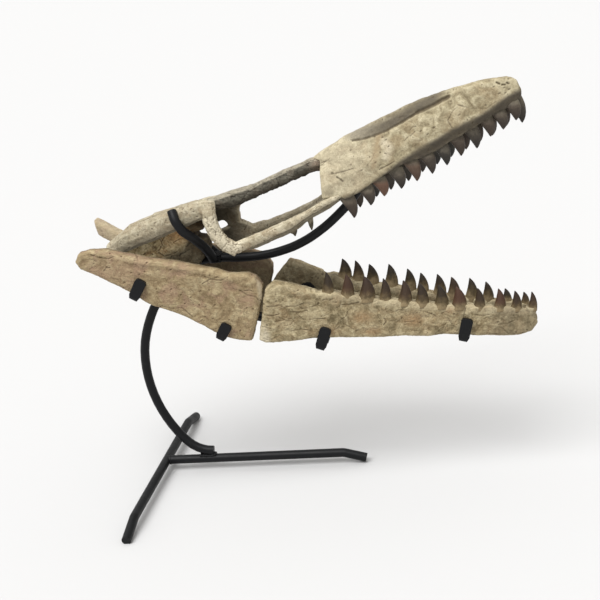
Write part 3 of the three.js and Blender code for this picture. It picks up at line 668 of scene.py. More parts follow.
LOWER_ENAMEL = enamel_finish("lower_enamel", tone(128, 112, 84), tone(80, 68, 46), tone(46, 39, 27),
                             tone(26, 24, 21), red=tone(76, 51, 38))
LOWER_RED = {"right": [0.2, 0.6, 0.3, 0.15, 0.3, 0.1, 0.1, 0.8, 0.3, 0.5, 0.2, 0.2], "left": [0.05] * 12}
LOWER_WIDE = {
    "right": [12.5, 14.5, 17.5, 13, 15, 14.5, 15, 16, 12, 12.5, 11.5, 9.5],
    "left": [15.5, 13.5, 15, 15.5, 14.5, 13.5, 14.5, 14.5, 14, 13, 11, 9.5],
}
for side_name, side in (("right", -1), ("left", 1)):
    spots = []
    for (x, long), red, wide in zip(LOWER_TEETH[side_name], LOWER_RED[side_name], LOWER_WIDE[side_name]):
        root = (x + 0.5, ramus_y(x, side) + side * 0.6, dentary_edge(x) - 1.2)
        spots.append((*root, long + 1.8, wide * 1.08, red))
    tooth_row("lower_teeth_" + side_name, spots, 1, 0.13, 0.84, LOWER_ENAMEL, 31 + side,
              0.05 if side < 0 else 0.2)

# Snout and upper jaw: the long wedge of the premaxilla and the two maxillae, grown together, hollow under the
# palate, with the slit of the nostrils below the bar along its top. Cream fossil bone, pitted by nerve
# openings, and turned in along the gum below a soft ridge, where it is painted grey as shade. The nostril slit
# and the nerve holes are painted dark as the shade inside them.

CREAM_BONE = bone_finish(
    "cream_bone", (tone(118, 107, 83), tone(146, 135, 108), tone(180, 170, 142)), stain=tone(142, 122, 92),
    grey=tone(84, 77, 66), dust_and_hollow_shade=tone(84, 73, 57), tilt=-25, pores=0.5, streaks=0.5, flakes=0.45, warmth=0.35,
    bump=0.5)
UPPER_TEETH = {  # x of each tooth, and its length from the gum
    "right": [(57, 23), (73.5, 18), (88, 17.5), (106, 19.5), (123, 20.5), (138.5, 22), (154, 22.5),
              (169.5, 22), (184.5, 22.5), (199, 19), (213.5, 19), (229, 18)],
    "left": [(58, 23), (74, 21), (90, 21), (109, 21), (127, 21), (143, 21), (158, 21), (174, 21), (187, 21),
             (200, 21), (216, 20), (231, 19)],
}
GUM_BACK, GUM_BACK_Z, GUM_SLOPE = 57, 316, 0.468  # the gum's line, from its rearmost tooth
GUM_WALL = 6.6  # how much of the wall above the gum is drawn out again, to its torn edge
GUM_RIDGE = [  # x and z of the soft ridge above the gum
    (40, 311), (49, 315.7), (66, 320.2), (82, 328.8), (97, 337.6), (110, 344.6), (124, 351.4), (137, 358.3),
    (154, 365.7), (170, 374), (187, 380), (197, 384), (207, 389.5), (220, 397.4), (234, 403.6),
]
GUM_DROP = [  # how far bone fills the spaces between the teeth, by x
    (52, 3), (68, 5), (85, 2.2), (100, 0.2), (119, 0.2), (128, 4), (136, 7), (152, 9.5), (165, 7.5),
    (194, 8), (207, 4), (224, 7), (236, 4),
]
NOSTRIL = [(66, -10, 370), (76, -10, 370.5), (87, -11, 373), (101, -11, 377), (119, -11, 385),
           (135, -9, 393), (152, -8, 399), (160, -8, 403), (167, -8, 406)]
MUZZLE_PITS = [
    (42, -19, 340), (51, -23, 333), (56, -27, 328), (73, -24, 341), (114, -14, 378), (100, -16, 369),
    (88, -23, 348), (93, -25, 345), (217, -8, 411), (222, -9, 410), (227, -9, 408), (217, -11, 405),
    (223, -11, 405), (212, -10, 412), (143, -20, 372), (130, -22, 362), (176, -16, 388), (150, -19, 378),
]
NERVE_HOLES = [
    [(42, -22, 339.9), (43.4, -22, 339.6)], [(47.5, -22, 335.8), (50, -22, 334.4), (53.2, -22, 331.6)],
    [(215.5, -8, 416), (218.4, -8, 414.2)], [(220.6, -8, 413.2), (224, -8, 412.8)],
    [(226, -8, 414.4), (227.6, -8, 413.6)],
]
MUZZLE_CRACKS = [
    [(80, -23, 346), (85, -22, 351), (90, -18, 360), (97, -17, 366)],
    [(169, -19, 376), (165, -17, 384), (171, -14, 393), (180, -11, 399)],
    [(33, -20, 341), (42, -21, 339), (54, -22, 341), (66, -22, 344)],
    [(176, -14, 398), (190, -13, 393), (204, -13, 392), (214, -12, 398)],
    [(44, -20, 350), (52, -19, 356), (60, -16, 364)],
    [(92, -24, 341), (100, -24, 344), (108, -23, 348)],
]
MUZZLE_GRAIN = (0.9, 0, 0.42)
WARM_STRIP = [(94, -16, 373), (91, -20, 363), (88, -23, 353), (86, -25, 345)]
BLEACHED_PATCH = [(99, -19, 367), (104, -19, 362), (100, -22, 354)]


def gum(x):
    """The height of the gum."""
    return GUM_BACK_Z + GUM_SLOPE * (x - GUM_BACK)


def upper_row_y(x):
    """How far to the side the outer face of the upper jaw is at the gum."""
    return 28 - 0.05 * (x - 60) - 0.0004 * (x - 60) ** 2


muzzle = cast("snout_bone", ["premaxilla", "maxilla_right", "maxilla_left"])
cut_off(muzzle, [(x, gum(x) + GUM_WALL) for x in (48, 260)] + [(260, 200), (48, 200)])
work(muzzle, "REMESH", mode="VOXEL", voxel_size=0.0011)
points, normals = read(muzzle)
x, y, z = points.T
row_y = upper_row_y(x)
outside = ease(row_y - 8, row_y - 4.5, np.abs(y))
ridge_z = read_off(x, GUM_RIDGE)
# The cut wall is drawn down again between the teeth.
drop = (GUM_WALL + 0.7 * read_off(x, GUM_DROP)) * ease(row_y - 9, row_y - 5, np.abs(y)) * ease(47, 54, x)
points[:, 2] -= drop * (1 - ease(GUM_WALL, 20, z - gum(x)))
# The top is a little fuller ahead, the tip reaches further, and the rear of the top laps over the roof.
points[:, 2] += ease(0.2, 0.8, normals[:, 2]) * (ease(90, 130, x) + 0.7 * ease(150, 190, x))
points[:, 0] += 2.2 * ease(222, 232, x) * ease(397, 406, z)
sheet = (1 - ease(40, 64, x)) * ease(350, 360, z)
points -= np.stack([14 * sheet, 0 * sheet, 5.5 * sheet], axis=1)
# Below the ridge, the wall turns in toward the teeth.
turn_in = ease(0, 8, ridge_z - points[:, 2])
swell = np.exp(-((points[:, 2] - ridge_z - 2.5) / 3.5) ** 2)
toothed = ease(50, 64, x) * (1 - ease(226, 238, x))
points[:, 1] += np.sign(y) * outside * toothed * (0.7 * swell - 2.2 * turn_in)
reshape(muzzle, points)
weather(muzzle, 0.88, lump=1.6, grit=0.4, rounds=5)
points, normals = read(muzzle)
slit = [NOSTRIL, [(px, -py, pz) for px, py, pz in NOSTRIL]]
opening = near_lines(points, slit, 2.0, 0.5) * (0.75 + 0.25 * ease(100, 140, points[:, 0]))
opening = np.maximum(opening, near_lines(points, [line[-4:] for line in slit], 3.2, 0.5))
opening = np.maximum(opening, 0.9 * near_lines(points, NERVE_HOLES, 1.5, 0.3))
points, normals = reshape(muzzle, points - normals * (opening * 2.2)[:, None])
pits = dots(points, 90, 42) + [[p, (p[0] + 1.5, p[1], p[2] + 0.6)] for p in MUZZLE_PITS]
mark = carve(muzzle, MUZZLE_CRACKS, wandering(points, normals, 34, MUZZLE_GRAIN, 41, (2, 6)), pits)
# The nostril slit and the nerve holes go into the crack paint, which paints them dark as the shade inside
# them.
paint(muzzle, "cracks_and_openings", np.maximum(mark, opening))
points, normals = read(muzzle)
x, y, z = points.T
above_slit = z - np.interp(x, [p[0] for p in NOSTRIL], [p[2] for p in NOSTRIL])
on_bar = ease(-1, 1, above_slit) * (0.95 - 0.45 * ease(7, 13, above_slit)) * ease(50, 70, x)
on_bar *= 1 - ease(150, 176, x)
# Painted shade: below the ridge, where the wall turns in toward the teeth, the bone is painted grey.
below = np.clip((read_off(x, GUM_RIDGE) + 2 + 3.5 * ease(85, 125, x) - z) / 8, 0, 1)
paint(muzzle, "grey", np.maximum(ease(0.0, 0.8, below), on_bar))
paled = near_lines(points, [BLEACHED_PATCH], 8, 0.6)
pale = np.maximum(0.3 * (1 - ease(60, 105, x)), 0.6 * paled)
paint(muzzle, "pale", pale * (1 - ease(0.0, 0.4, below)))
inner = (1 - ease(-3, 0, np.abs(y) - (upper_row_y(x) - 5))) * (z < gum(x) + 30)
inner *= ease(0.0, 0.35, -normals[:, 2])
rim = 0.3 * ease(0.6, 1.0, below) * (1 - ease(0, 6, z - gum(x)))
paint(muzzle, "shade", np.maximum(inner * 0.5, rim))
paint(muzzle, "stain", 0.9 * near_lines(points, [WARM_STRIP], 7, 0.6))
settle(muzzle, ["premaxilla", "maxilla_right", "maxilla_left"], CREAM_BONE)

# Teeth of the upper jaw: twelve on each side, like the lower ones but leaning further forward. Grey-brown at
# the gum, where bone and enamel run into each other, and dark grey-brown to the tip. Each is rooted in the
# turned-in edge of the jaw.

UPPER_ENAMEL = enamel_finish("upper_enamel", tone(106, 99, 84), tone(88, 82, 71), tone(60, 56, 49),
                             tone(33, 31, 28), red=tone(106, 78, 62))
UPPER_AHEAD = [  # how far each tooth stands ahead of its own x, by x
    (57, -4.2), (66, -1), (74, -0.4), (106, 0), (123, -1.4), (154, -1.8), (184, -1.3), (199, 0.8),
    (214, -1), (229, -2.6), (231, -1.2),
]
UPPER_WIDE = 18.4
UPPER_EXTRA = 3.3  # what the turned-in gum hides of each tooth's length
UPPER_RED = {"right": [0.1, 0.1, 0.9, 0.05, 0.4, 0.2, 0.1, 0.1, 0.1, 0.2, 0.2, 0.1], "left": [0.05] * 12}
for side_name, side in (("right", -1), ("left", 1)):
    spots = []
    for (x, long), red in zip(UPPER_TEETH[side_name], UPPER_RED[side_name]):
        if x > 230:
            long += 6  # the foremost left tooth is a large one
        root = (x + read_off(x, UPPER_AHEAD), side * max(upper_row_y(x) - 9, 5.2), gum(x))
        spots.append((*root, long + UPPER_EXTRA, UPPER_WIDE, red))
    tooth_row("upper_teeth_" + side_name, spots, -1, 0.42, 0.62, UPPER_ENAMEL, 34 + side,
              neck=0.5)
bpy.data.objects.remove(UNIT_CROWN)

# Skull roof: the parietal and the frontal, a narrow beam from the back of the skull to the snout. Grey,
# weathered fossil bone, its edges broken and jagged, with a reddish break where it goes under the snout. Its
# faces that look up are painted pale as highlight, and its lower half is painted dark as shade.

GREY_BONE = bone_finish(
    "grey_bone", (tone(54, 51, 43), tone(76, 72, 63), tone(106, 102, 90)), stain=tone(142, 122, 104),
    grey=tone(96, 91, 80), dust_and_hollow_shade=tone(46, 41, 34), tilt=-20, pores=0.4, streaks=1.2, flakes=0.8, warmth=0.2,
    bump=0.8)
ROOF_MIDDLE = [(-132, 304.5), (-60, 316), (-12, 332), (36, 352)]  # x and z halfway up the beam
ROOF_GRAIN = (0.93, 0, 0.3)
roof = cast("roof_bone", ["parietal", "frontal"], fatten=0.8)
weather(roof, 0.7, lump=1.4, grit=0.5, rounds=6)
points, normals = read(roof)
x, y, z = points.T
torn = np.array([noise.fractal(Vector((p[0] * 0.11, p[1] * 0.05, p[2] * 0.2)), 0.8, 2.0, 4) for p in points])
beam_z = read_off(x, ROOF_MIDDLE)
keel = 1 - ease(-5, 1, z - beam_z)
crown_line = 1.1 + 1.3 * ease(-90, -60, x) * (1 - ease(-10, 10, x))
points[:, 2] += np.clip(torn, -0.6, 1.0) * 1.3 * keel + crown_line * (1 - keel)
# Ahead, it dips to pass under the snout.
points[:, 2] -= (5 * (1 - keel) + 3.5 * keel) * ease(16, 32, x)
points[:, 1] += np.sign(y) * np.clip(torn, -1, 1) * 0.8
points, normals = reshape(roof, points)
carve(roof, [], wandering(points, normals, 40, ROOF_GRAIN, 51, (4, 12)), dots(points, 40, 52), deep=0.8)
paint(roof, "stain", ease(12, 30, x) * 0.9)
paint(roof, "shade", 0.7 * (1 - ease(-3, 3, z - beam_z)))
# Painted highlight: faces that look up are painted pale, where the light from above falls on them.
paint(roof, "pale", 0.45 * ease(0.6, 0.95, normals[:, 2]))
settle(roof, ["parietal", "frontal"], GREY_BONE)

# Cheeks and temporal bars: on each side a stout bar runs back along the top of the head, a curved strut
# comes down behind the eye, and a slim bar runs forward from its foot to the upper jaw. Cream fossil bone,
# porous on the strut and smooth on the bars, with the joints between the three still to be seen.

CHEEK_BONE = bone_finish(
    "cheek_bone", (tone(130, 119, 97), tone(164, 154, 130), tone(196, 187, 163)), stain=tone(158, 136, 106),
    grey=tone(116, 109, 93), dust_and_hollow_shade=tone(80, 67, 52), tilt=-22, pores=0.9, streaks=0.7, flakes=0.9, warmth=0.35,
    bump=0.6)
CHEEK_JOINTS = [
    [(-84, -33, 268), (-78, -34, 274), (-72, -33, 280)],
    [(-36, -32, 284), (-34, -33, 279), (-33, -32, 274)],
    [(-96, -27, 300), (-93, -28, 306), (-88, -27, 311), (-84, -24, 316)],
    [(-205, -26, 272), (-192, -27, 276), (-180, -27, 279)],
    [(-170, -26, 300), (-150, -27, 304), (-132, -27, 309)],
]
JUGAL_MIDDLE = [(-7, 291), (14, 301.2), (44, 314)]  # x and z along the slim bar
TEMPORAL_MIDDLE = [(-213, 262), (-188, 283), (-140, 298), (-92, 312)]  # and along the stout one
CHEEK_GRAIN, STRUT_GRAIN = (0.92, 0, 0.32), (0.3, 0, -0.9)
for side_name, side, seed in (("right", -1, 61), ("left", 1, 62)):
    nodes = [bone + "_" + side_name for bone in ("temporal_bar", "postorbital", "jugal")]
    cheek = cast("cheek_bones_" + side_name, nodes, fatten=0.3 if side < 0 else 0.8)
    weather(cheek, 0.7, lump=1.6, grit=0.5)
    points, normals = read(cheek)
    x, y, z = points.T
    # The slim bar is a little slimmer than its cast, the left one hangs lower, and both reach into the snout.
    slim = ease(-6, 8, x) * (z < 330)
    points[:, 2] -= slim * 0.22 * (z - read_off(x, JUGAL_MIDDLE))
    points[:, 2] += 1.2 * ease(0.2, 0.8, normals[:, 2]) * (z > 300) * (1 - ease(-70, -50, x))
    if side > 0:
        points[:, 2] -= 2.0 * ease(-50, -38, x) * (1 - ease(15, 30, x))
    front = ease(30, 44, x)
    points += np.stack([front * 7, -side * front * 3, front * 1.5], axis=1)
    points, normals = reshape(cheek, points)
    x, y, z = points.T
    pits = dots(points, 40, seed + 5) + [[(-152, -26, 302.6), (-150, -26, 303.6)]] * 2
    strut = np.flatnonzero((x > -104) & (x < -58) & (z < 306) & (side * y > 20))
    pits += dots(points[strut], 130, seed + 6)
    chance_cracks = wandering(points, normals, 40, CHEEK_GRAIN, seed, (1, 6))
    chance_cracks += wandering(points[strut], normals[strut], 30, STRUT_GRAIN, seed + 7, (1, 4))
    carve(cheek, CHEEK_JOINTS if side < 0 else [], chance_cracks, pits)
    back = 1 - ease(-104, -96, x)
    under_bar = 1 - ease(-8, 2, z - read_off(x, TEMPORAL_MIDDLE))
    grey = back * (0.35 + 0.65 * under_bar) * 0.8 + (side > 0) * 0.5 * ease(-60, -45, x)
    paint(cheek, "grey", np.clip(grey, 0, 1))
    inside = 1 - ease(-6, 0, side * y - 20)
    on_strut = (x > -104) & (x < -60) & (z < 306 + 0.3 * (x + 92))
    paint(cheek, "pale", on_strut * 0.6 * ease(0.2, 0.7, side * normals[:, 1]))
    dim = 0.35 if side < 0 else 0.9 - 0.6 * ease(-40, -20, x)
    paint(cheek, "shade", dim * inside * (1 - ease(0.1, 0.6, normals[:, 2])))
    settle(cheek, nodes, CHEEK_BONE)

# Pterygoids: two slim rods inside the cheeks, from the palate back to the braincase. Cream bone like the
# cheeks, in the shade of the palate. The right one keeps two small teeth of its own.

PALATE_Z, PALATE_SLOPE = 287, 0.45  # height of the rods' middle at x = 0, and their slope
PALATE_GRAIN = (0.92, 0, 0.4)


def own_teeth(points):
    """1 on the two small teeth that hang from a rod, 0 on the rod."""
    return 1 - ease(-7, -4.5, points[:, 2] - PALATE_Z - PALATE_SLOPE * points[:, 0])


for side_name, side, seed in (("right", -1, 71), ("left", 1, 72)):
    palate_rod = cast("palate_rod_" + side_name, ["pterygoid_" + side_name], fatten=0.2)
    weather(palate_rod, 0.6, lump=1.2, grit=0.4, rounds=3)
    points, normals = read(palate_rod)
    x = points[:, 0]
    lift = 3.2 * ease(2, 16, x) - 1.6 * (1 - ease(-2, 8, x)) * ease(-60, -45, x)
    points[:, 2] += (1 - own_teeth(points)) * lift
    points, normals = reshape(palate_rod, points)
    carve(palate_rod, [], wandering(points, normals, 8, PALATE_GRAIN, seed), dots(points, 14, seed + 5))
    points, normals = read(palate_rod)
    paint(palate_rod, "grey", np.full(len(points), 0.6))
    paint(palate_rod, "shade", 0.55 * own_teeth(points) + 0.25)
    settle(palate_rod, ["pterygoid_" + side_name], CHEEK_BONE)

# Braincase: a rough block slung between the temporal bars, under the roof. Pale ochre bone, its upper front
# cracked and stained orange. Its lower parts and its front end are painted dark brown as shade.

BRAIN_BONE = bone_finish(
    "brain_bone", (tone(130, 113, 82), tone(180, 161, 122), tone(220, 204, 165)), stain=tone(190, 148, 100),
    grey=tone(120, 112, 92), dust_and_hollow_shade=tone(56, 42, 30), tilt=-25, pores=0.6, streaks=0.6, flakes=1.0, bump=0.9)
BRAIN_GRAIN = (0.8, 0, 0.5)
block = cast("brain_block", ["braincase"], fatten=0.3)
weather(block, 0.75, lump=3.0, grit=0.9, rounds=8)
points, normals = read(block)
x, y, z = points.T
# Its front is stepped: the upper and the lowest parts reach further ahead than the middle.
ahead = ease(-138, -116, x + 0.8 * (z - 285))
points[:, 0] += ahead * (14 * ease(285.5, 287.5, z) + 9 * (1 - ease(275.5, 278, z)) * ease(255, 265, z))
points[:, 0] -= 4 * (1 - ease(-185, -165, x))
points, normals = reshape(block, points)
carve(block, [], wandering(points, normals, 26, BRAIN_GRAIN, 81), dots(points, 30, 82), deep=0.8)
x, y, z = points.T
paint(block, "stain", ease(-160, -130, x) * ease(270, 285, z))
# Painted shade: the lower parts and the front end of the block are painted dark brown.
low = 1 - ease(-14, 6, z - (266 + 0.42 * (x + 150)))
paint(block, "shade", np.clip(low + 0.8 * ease(-128, -116, x), 0, 0.85))
settle(block, ["braincase"], BRAIN_BONE)

# Base of the stand: two lengths of round steel bar, about 10 mm thick, welded in a T. Their three ends are
# bent down into feet that are cut flat by the floor. Painted satin black over mill scale, a little uneven,
# and scuffed in patches.

ROD = 10.2
BASE_Z = 12.5  # height of the base's bars
BASE_BEND = 16
CROSSBAR_X, CROSSBAR_SKEW = -191, 0.018  # where it crosses the stem's end, and how far out of square it is


def steel_finish(name, body, worn, rough):
    """Painted steel, with scuffs in the worn colour."""
    material, tree, place = new_finish(name)
    cast_marks = cloud(tree, place, 260, 4, 0.6)
    grit = cloud(tree, place, 1500, 2, 0.6)
    scuffs = cloud(tree, place, 90, 5, 0.75, 0.8)
    colour = mixed(tree, band(tree, scuffs, 0.58, 0.72, 0.0, 0.8), body, worn)
    gloss = plus(tree, band(tree, scuffs, 0.35, 0.7, rough - 0.08, rough + 0.12),
                 band(tree, grit, 0.3, 0.7, -0.04, 0.04))
    coat(tree, colour, gloss, plus(tree, cast_marks, times(tree, grit, 0.35)), 0.3, 0.0005, specular=0.22)
    return material


BLACK_STEEL = steel_finish("black_steel", tone(11, 12, 14), tone(30, 31, 31), 0.48)


def bend(start, corner, end, steps=6):
    """Points along a smooth bend from start to end."""
    start, corner, end = (np.array(p, float) for p in (start, corner, end))
    shares = [k / steps for k in range(steps + 1)]
    return [(1 - s) ** 2 * start + 2 * s * (1 - s) * corner + s * s * end for s in shares]


def eased(points, radius, steps=6):
    """The same path with its corners rounded."""
    points = [np.array(p, float) for p in points]
    path = [points[0]]
    for before, corner, after in zip(points, points[1:], points[2:]):
        back, on = before - corner, after - corner
        turn = math.acos(np.clip(-(back @ on) / np.linalg.norm(back) / np.linalg.norm(on), -1, 1))
        reach = min(radius * math.tan(turn / 2), 0.45 * np.linalg.norm(back), 0.45 * np.linalg.norm(on))
        start = corner + back / np.linalg.norm(back) * reach
        finish = corner + on / np.linalg.norm(on) * reach
        path += bend(start, corner, finish, steps)
    return path + [points[-1]]


def finish_steel(piece, nodes):
    """Ends a piece of the stand: smooth, but for the edges that turn by more than 35 degrees."""
    alone(piece)
    bpy.ops.object.shade_smooth_by_angle(angle=math.radians(35))
    place_on(piece, nodes, BLACK_STEEL)


def bar(name, points, nodes, thick=ROD, smooth=False, to_floor=False):
    """Round bar along a path, its cut ends dressed with a file. to_floor cuts off what is below the floor."""
    route = bpy.data.curves.new(name, "CURVE")
    route.dimensions = "3D"
    route.bevel_depth = thick / 2000
    route.bevel_resolution = 5
    route.resolution_u = 10
    route.use_fill_caps = True
    spline = route.splines.new("BEZIER" if smooth else "POLY")
    knots = spline.bezier_points if smooth else spline.points
    knots.add(len(points) - 1)
    for knot, point in zip(knots, points):
        knot.co = at(*point) if smooth else (*at(*point), 1)
        if smooth:
            knot.handle_left_type = knot.handle_right_type = "AUTO"
    alone(add(name, route))
    bpy.ops.object.convert(target="MESH")
    piece = bpy.context.view_layer.objects.active
    edit_all()
    bpy.ops.mesh.remove_doubles(threshold=0.00001)
    bpy.ops.mesh.normals_make_consistent(inside=False)
    if to_floor:
        bpy.ops.mesh.bisect(plane_co=(0, 0, 0), plane_no=(0, 0, 1), use_fill=True, clear_inner=True)
    bpy.ops.mesh.select_all(action="DESELECT")
    bpy.ops.mesh.select_mode(type="FACE")
    bpy.ops.mesh.select_face_by_sides(number=6, type="GREATER")
    bpy.ops.mesh.region_to_loop()
    bpy.ops.mesh.bevel(offset=0.0011, segments=3, affect="EDGES", clamp_overlap=True)
    bpy.ops.object.mode_set(mode="OBJECT")
    finish_steel(piece, nodes)


crossbar = [(-168, 4), (-133, BASE_Z), (100, BASE_Z), (135, 4.2)]
crossbar = [(CROSSBAR_X + CROSSBAR_SKEW * y, y, z) for y, z in crossbar]
bar("base_crossbar", eased(crossbar, BASE_BEND), ["stand_crossbar"], to_floor=True)
stem = [(-190, 0, BASE_Z), (15, 0, BASE_Z), (40, 0, 5.2)]
bar("base_stem", eased(stem, BASE_BEND), ["stand_stem"], to_floor=True)

# Upright and muzzle rod: one bar bowed back from the stem and up to its head behind the jaws, and a thinner
# one that runs on from there under the palate into the snout. Hooks of the same bar rise from the head
# round the outside of each temporal bar and carry the skull. All of it is bent hot and welded.

MUZZLE_ROD = 9.6
HOOK_BEND = 14
BOW_X, BOW_Z, BOW_RADIUS = -54, 127, 142.3
BOW_LOW, BOW_HIGH = 218, 150  # where the bow's round part starts and ends, in degrees from straight ahead
HEAD = (-97, 0, 252)


def bow(degrees):
    """A point of the bow's circle."""
    angle = math.radians(degrees)
    return np.array([BOW_X + BOW_RADIUS * math.cos(angle), 0, BOW_Z + BOW_RADIUS * math.sin(angle)])


upright = bend((-134, 0, 22.5), (-153, 0, 22.5), bow(BOW_LOW))
upright += [bow(degrees) for degrees in np.linspace(BOW_LOW, BOW_HIGH, 17)[1:]]
upright += bend(bow(BOW_HIGH), (-142, 0, 253), HEAD, 10)[1:]
for point in upright:  # the bow is a little flatter toward its top than a true circle
    z = point[2]
    point[0] += (1.3 * ease(150, 200, z) + 1.6 * ease(200, 222, z)) * (1 - ease(236, 256, z))
bar("upright", upright, ["stand_upright"])
muzzle_rod = [(-99, 0, 252), (-65, 0, 250), (-43, 0, 251), (-24, 0, 254.5), (-4, 0, 261), (19, 0, 273.4),
              (43, 0, 291.8), (58, 0, 306.4), (70, 0, 322.6), (79, 0, 343)]
bar("muzzle_rod", muzzle_rod, ["stand_muzzle_rod"], MUZZLE_ROD, smooth=True)
hooks = {
    "right": [(-131.3, -24.5, 314), (-127.6, -31, 305), (-121.5, -31.5, 293.5), (-112.5, -25, 283),
              (-105, -16, 270), (-100, -11, 259), (-98, -9, 252)],
    "left": [(-132, 29.8, 290), (-129, 29.5, 281), (-119, 21.5, 270), (-107, 12, 260), (-98, 9, 252)],
}
for side_name, hook in hooks.items():
    bar("hook_" + side_name, eased(hook, HOOK_BEND), ["stand_hook_" + side_name])

# Jaw clips: flat steel strap, bent into a cradle under each jaw bone, with rounded tips up its two faces.
# Cross straps tie each pair, the foremost clip takes both bones at once, and a prop inside the left jaw
# backs its torn end. The bar welded along the cross straps is the spine of the mount.

STRAP_WIDE = 12.4
STRAP_THICK = 4.4
TIP_SHAPE = [(0, 0.42), (0.35, 0.66), (1.1, 0.84), (2.2, 0.95), (3.6, 1.0)]  # mm from a tip, share of width
CLEAR = 0.9  # between a strap and the bone's face
GAP = 0.3  # between bars that are welded together
PLATE_BACK, PLATE_FRONT = 16, 9.2  # how thick the lower jaw is at PLATE_BACK_X, and PLATE_LONG ahead of it
PLATE_BACK_X, PLATE_LONG = -55, 295
CLIPS = {  # x and z of its foot, lean in degrees, reach up the bone, drop below it
    "a": (-177, 233, 32, 21, 0.4), "b": (-92, 179, 33, 16, 0.6), "c": (14.5, 164.5, 22, 14, 8.5),
    "d": (162, 152.5, 16, 20, 2.4),
}


def above(clip, rise, y):
    """A point that lies rise above a clip's foot, along its lean."""
    x, z, lean = clip[:3]
    return (x + rise * math.sin(math.radians(lean)), y, z + rise * math.cos(math.radians(lean)))


def beside(clip, rise, side, face):
    """The same, but beside a half jaw's outer face (1) or its inner one (-1)."""
    x, _, z = above(clip, rise, 0)
    thick = PLATE_BACK + (PLATE_FRONT - PLATE_BACK) * (max(x, PLATE_BACK_X) - PLATE_BACK_X) / PLATE_LONG
    return (x, ramus_y(x, side) + face * side * (thick / 2 + STRAP_THICK / 2 + CLEAR), z)


def strap(name, path, lean, nodes, round_ends=True, folded=False):
    """Flat strap along a path, its width square to a lean, and its ends rounded. A folded one is narrower at
    its fold."""
    path = [np.array(p) for p in eased(path, 4, 5)]
    if round_ends:
        tips = []
        for tip, inward in ((path[0], path[1]), (path[-1], path[-2])):
            run = (inward - tip) / np.linalg.norm(inward - tip)
            tips.append([tip + run * reach for reach, _ in TIP_SHAPE])
        rounding = [share for _, share in TIP_SHAPE]
        shares = rounding + [1.0] * (len(path) - 2) + rounding[::-1]
        path = tips[0] + path[1:-1] + tips[1][::-1]
    else:
        shares = [1.0] * len(path)
    sine, cosine = math.sin(math.radians(lean)), math.cos(math.radians(lean))
    across = np.array([cosine, 0, -sine])
    if folded:
        rises = [point @ [sine, 0, cosine] for point in path]
        shares = [share * (0.7 + 0.3 * ease(0, 5.5, rise - min(rises))) for share, rise in zip(shares, rises)]
    rows = []
    for point, share in zip(path, shares):
        rows += [at(*(point + across * side * STRAP_WIDE / 2 * share)) for side in (-1, -0.5, 0, 0.5, 1)]
    corners = [5 * i + k for i in range(len(path) - 1) for k in range(4)]
    mesh = bpy.data.meshes.new(name)
    mesh.from_pydata(rows, [], [(a, a + 1, a + 6, a + 5) for a in corners])
    piece = add(name, mesh)
    work(piece, "SOLIDIFY", thickness=STRAP_THICK / 1000, offset=0, use_even_offset=True)
    work(piece, "BEVEL", width=0.0009, segments=3, limit_method="ANGLE", angle_limit=math.radians(40))
    finish_steel(piece, nodes)


def foot_rise(clip):
    """Where the middle of a clip's underside lies, from its foot."""
    *_, drop = clip
    return -(drop + STRAP_THICK / 2)


def cradle(clip, *ends):
    """The path of a clip: down the first of its ends, under the bone and up the last. Each end is its reach,
    its side of the jaw and which face it lies on."""
    (first, *start), (last, *end) = ends
    foot = foot_rise(clip)
    down = [beside(clip, first, *start), beside(clip, foot, *start)]
    return down + [beside(clip, foot, *end), beside(clip, last, *end)]


for name in "abc":
    clip = CLIPS[name]
    _, _, lean, reach, _ = clip
    for side_name, side in (("right", -1), ("left", 1)):
        piece_name = "clip_%s_%s" % (name, side_name)
        path = cradle(clip, (reach, side, 1), (reach * 0.7, side, -1))
        strap(piece_name, path, lean, ["stand_" + piece_name], folded=True)
    _, inner_y, _ = beside(clip, foot_rise(clip), 1, -1)
    end = inner_y - STRAP_THICK / 2
    path = [above(clip, foot_rise(clip), y) for y in (-end, end)]
    strap("cross_" + name, path, lean, ["stand_cross_" + name], round_ends=False)
clip = CLIPS["d"]
_, _, lean, reach, _ = clip
strap("clip_d", cradle(clip, (reach, -1, 1), (reach, 1, 1)), lean, ["stand_clip_d"], folded=True)

prop = [beside((x, z, 0), 0, 1, -1) for x, z in ((20, 170.5), (-9, 209))]
strap("prop", prop, -15, ["stand_prop"])


def on_cross(name, shift=0.0, lift=0.0, extra=0.0, y=0.0):
    """Where the middle of the spine lies on a clip's cross strap, moved by shift, lift and extra."""
    x, z, lean, _, _ = CLIPS[name]
    rise = foot_rise(CLIPS[name]) + (STRAP_THICK + ROD) / 2 + GAP + extra
    return above((x + shift, z + lift, lean), rise, y)


SPINE_ASIDE = ROD + GAP  # the spine's rear half passes beside the upright's head
SPINE_BEND = 30
spine = [on_cross("a", -7, 4, 0.5, SPINE_ASIDE), on_cross("b", 0, 0, 1, SPINE_ASIDE),
         on_cross("c", 0, 0, 1, 0), on_cross("d", 8, 0, 1, 0)]
bar("spine", eased(spine, SPINE_BEND), ["stand_spine"])

# Welds: short runs of melted steel where the base's two bars meet, where the upright stands on the stem,
# round its head, and where the spine crosses each strap. They are left as laid, and painted with the rest.


def weld(name, beads):
    """Drops of steel melted into one. Each bead is x, y, z and its radius."""
    drops = []
    for x, y, z, radius in beads:
        bpy.ops.mesh.primitive_uv_sphere_add(segments=16, ring_count=10, radius=radius / 1000,
                                             location=at(x, y, z))
        drops.append(bpy.context.active_object)
        drops[-1].scale = (1, 1, 0.85)
    for drop in drops:
        drop.select_set(True)
    bpy.ops.object.join()
    piece = bpy.context.view_layer.objects.active
    piece.name = name
    bpy.ops.object.transform_apply(location=True, rotation=True, scale=True)
    work(piece, "REMESH", mode="VOXEL", voxel_size=0.0005, use_smooth_shade=True)
    work(piece, "SMOOTH", factor=0.5, iterations=5)
    finish_steel(piece, [])


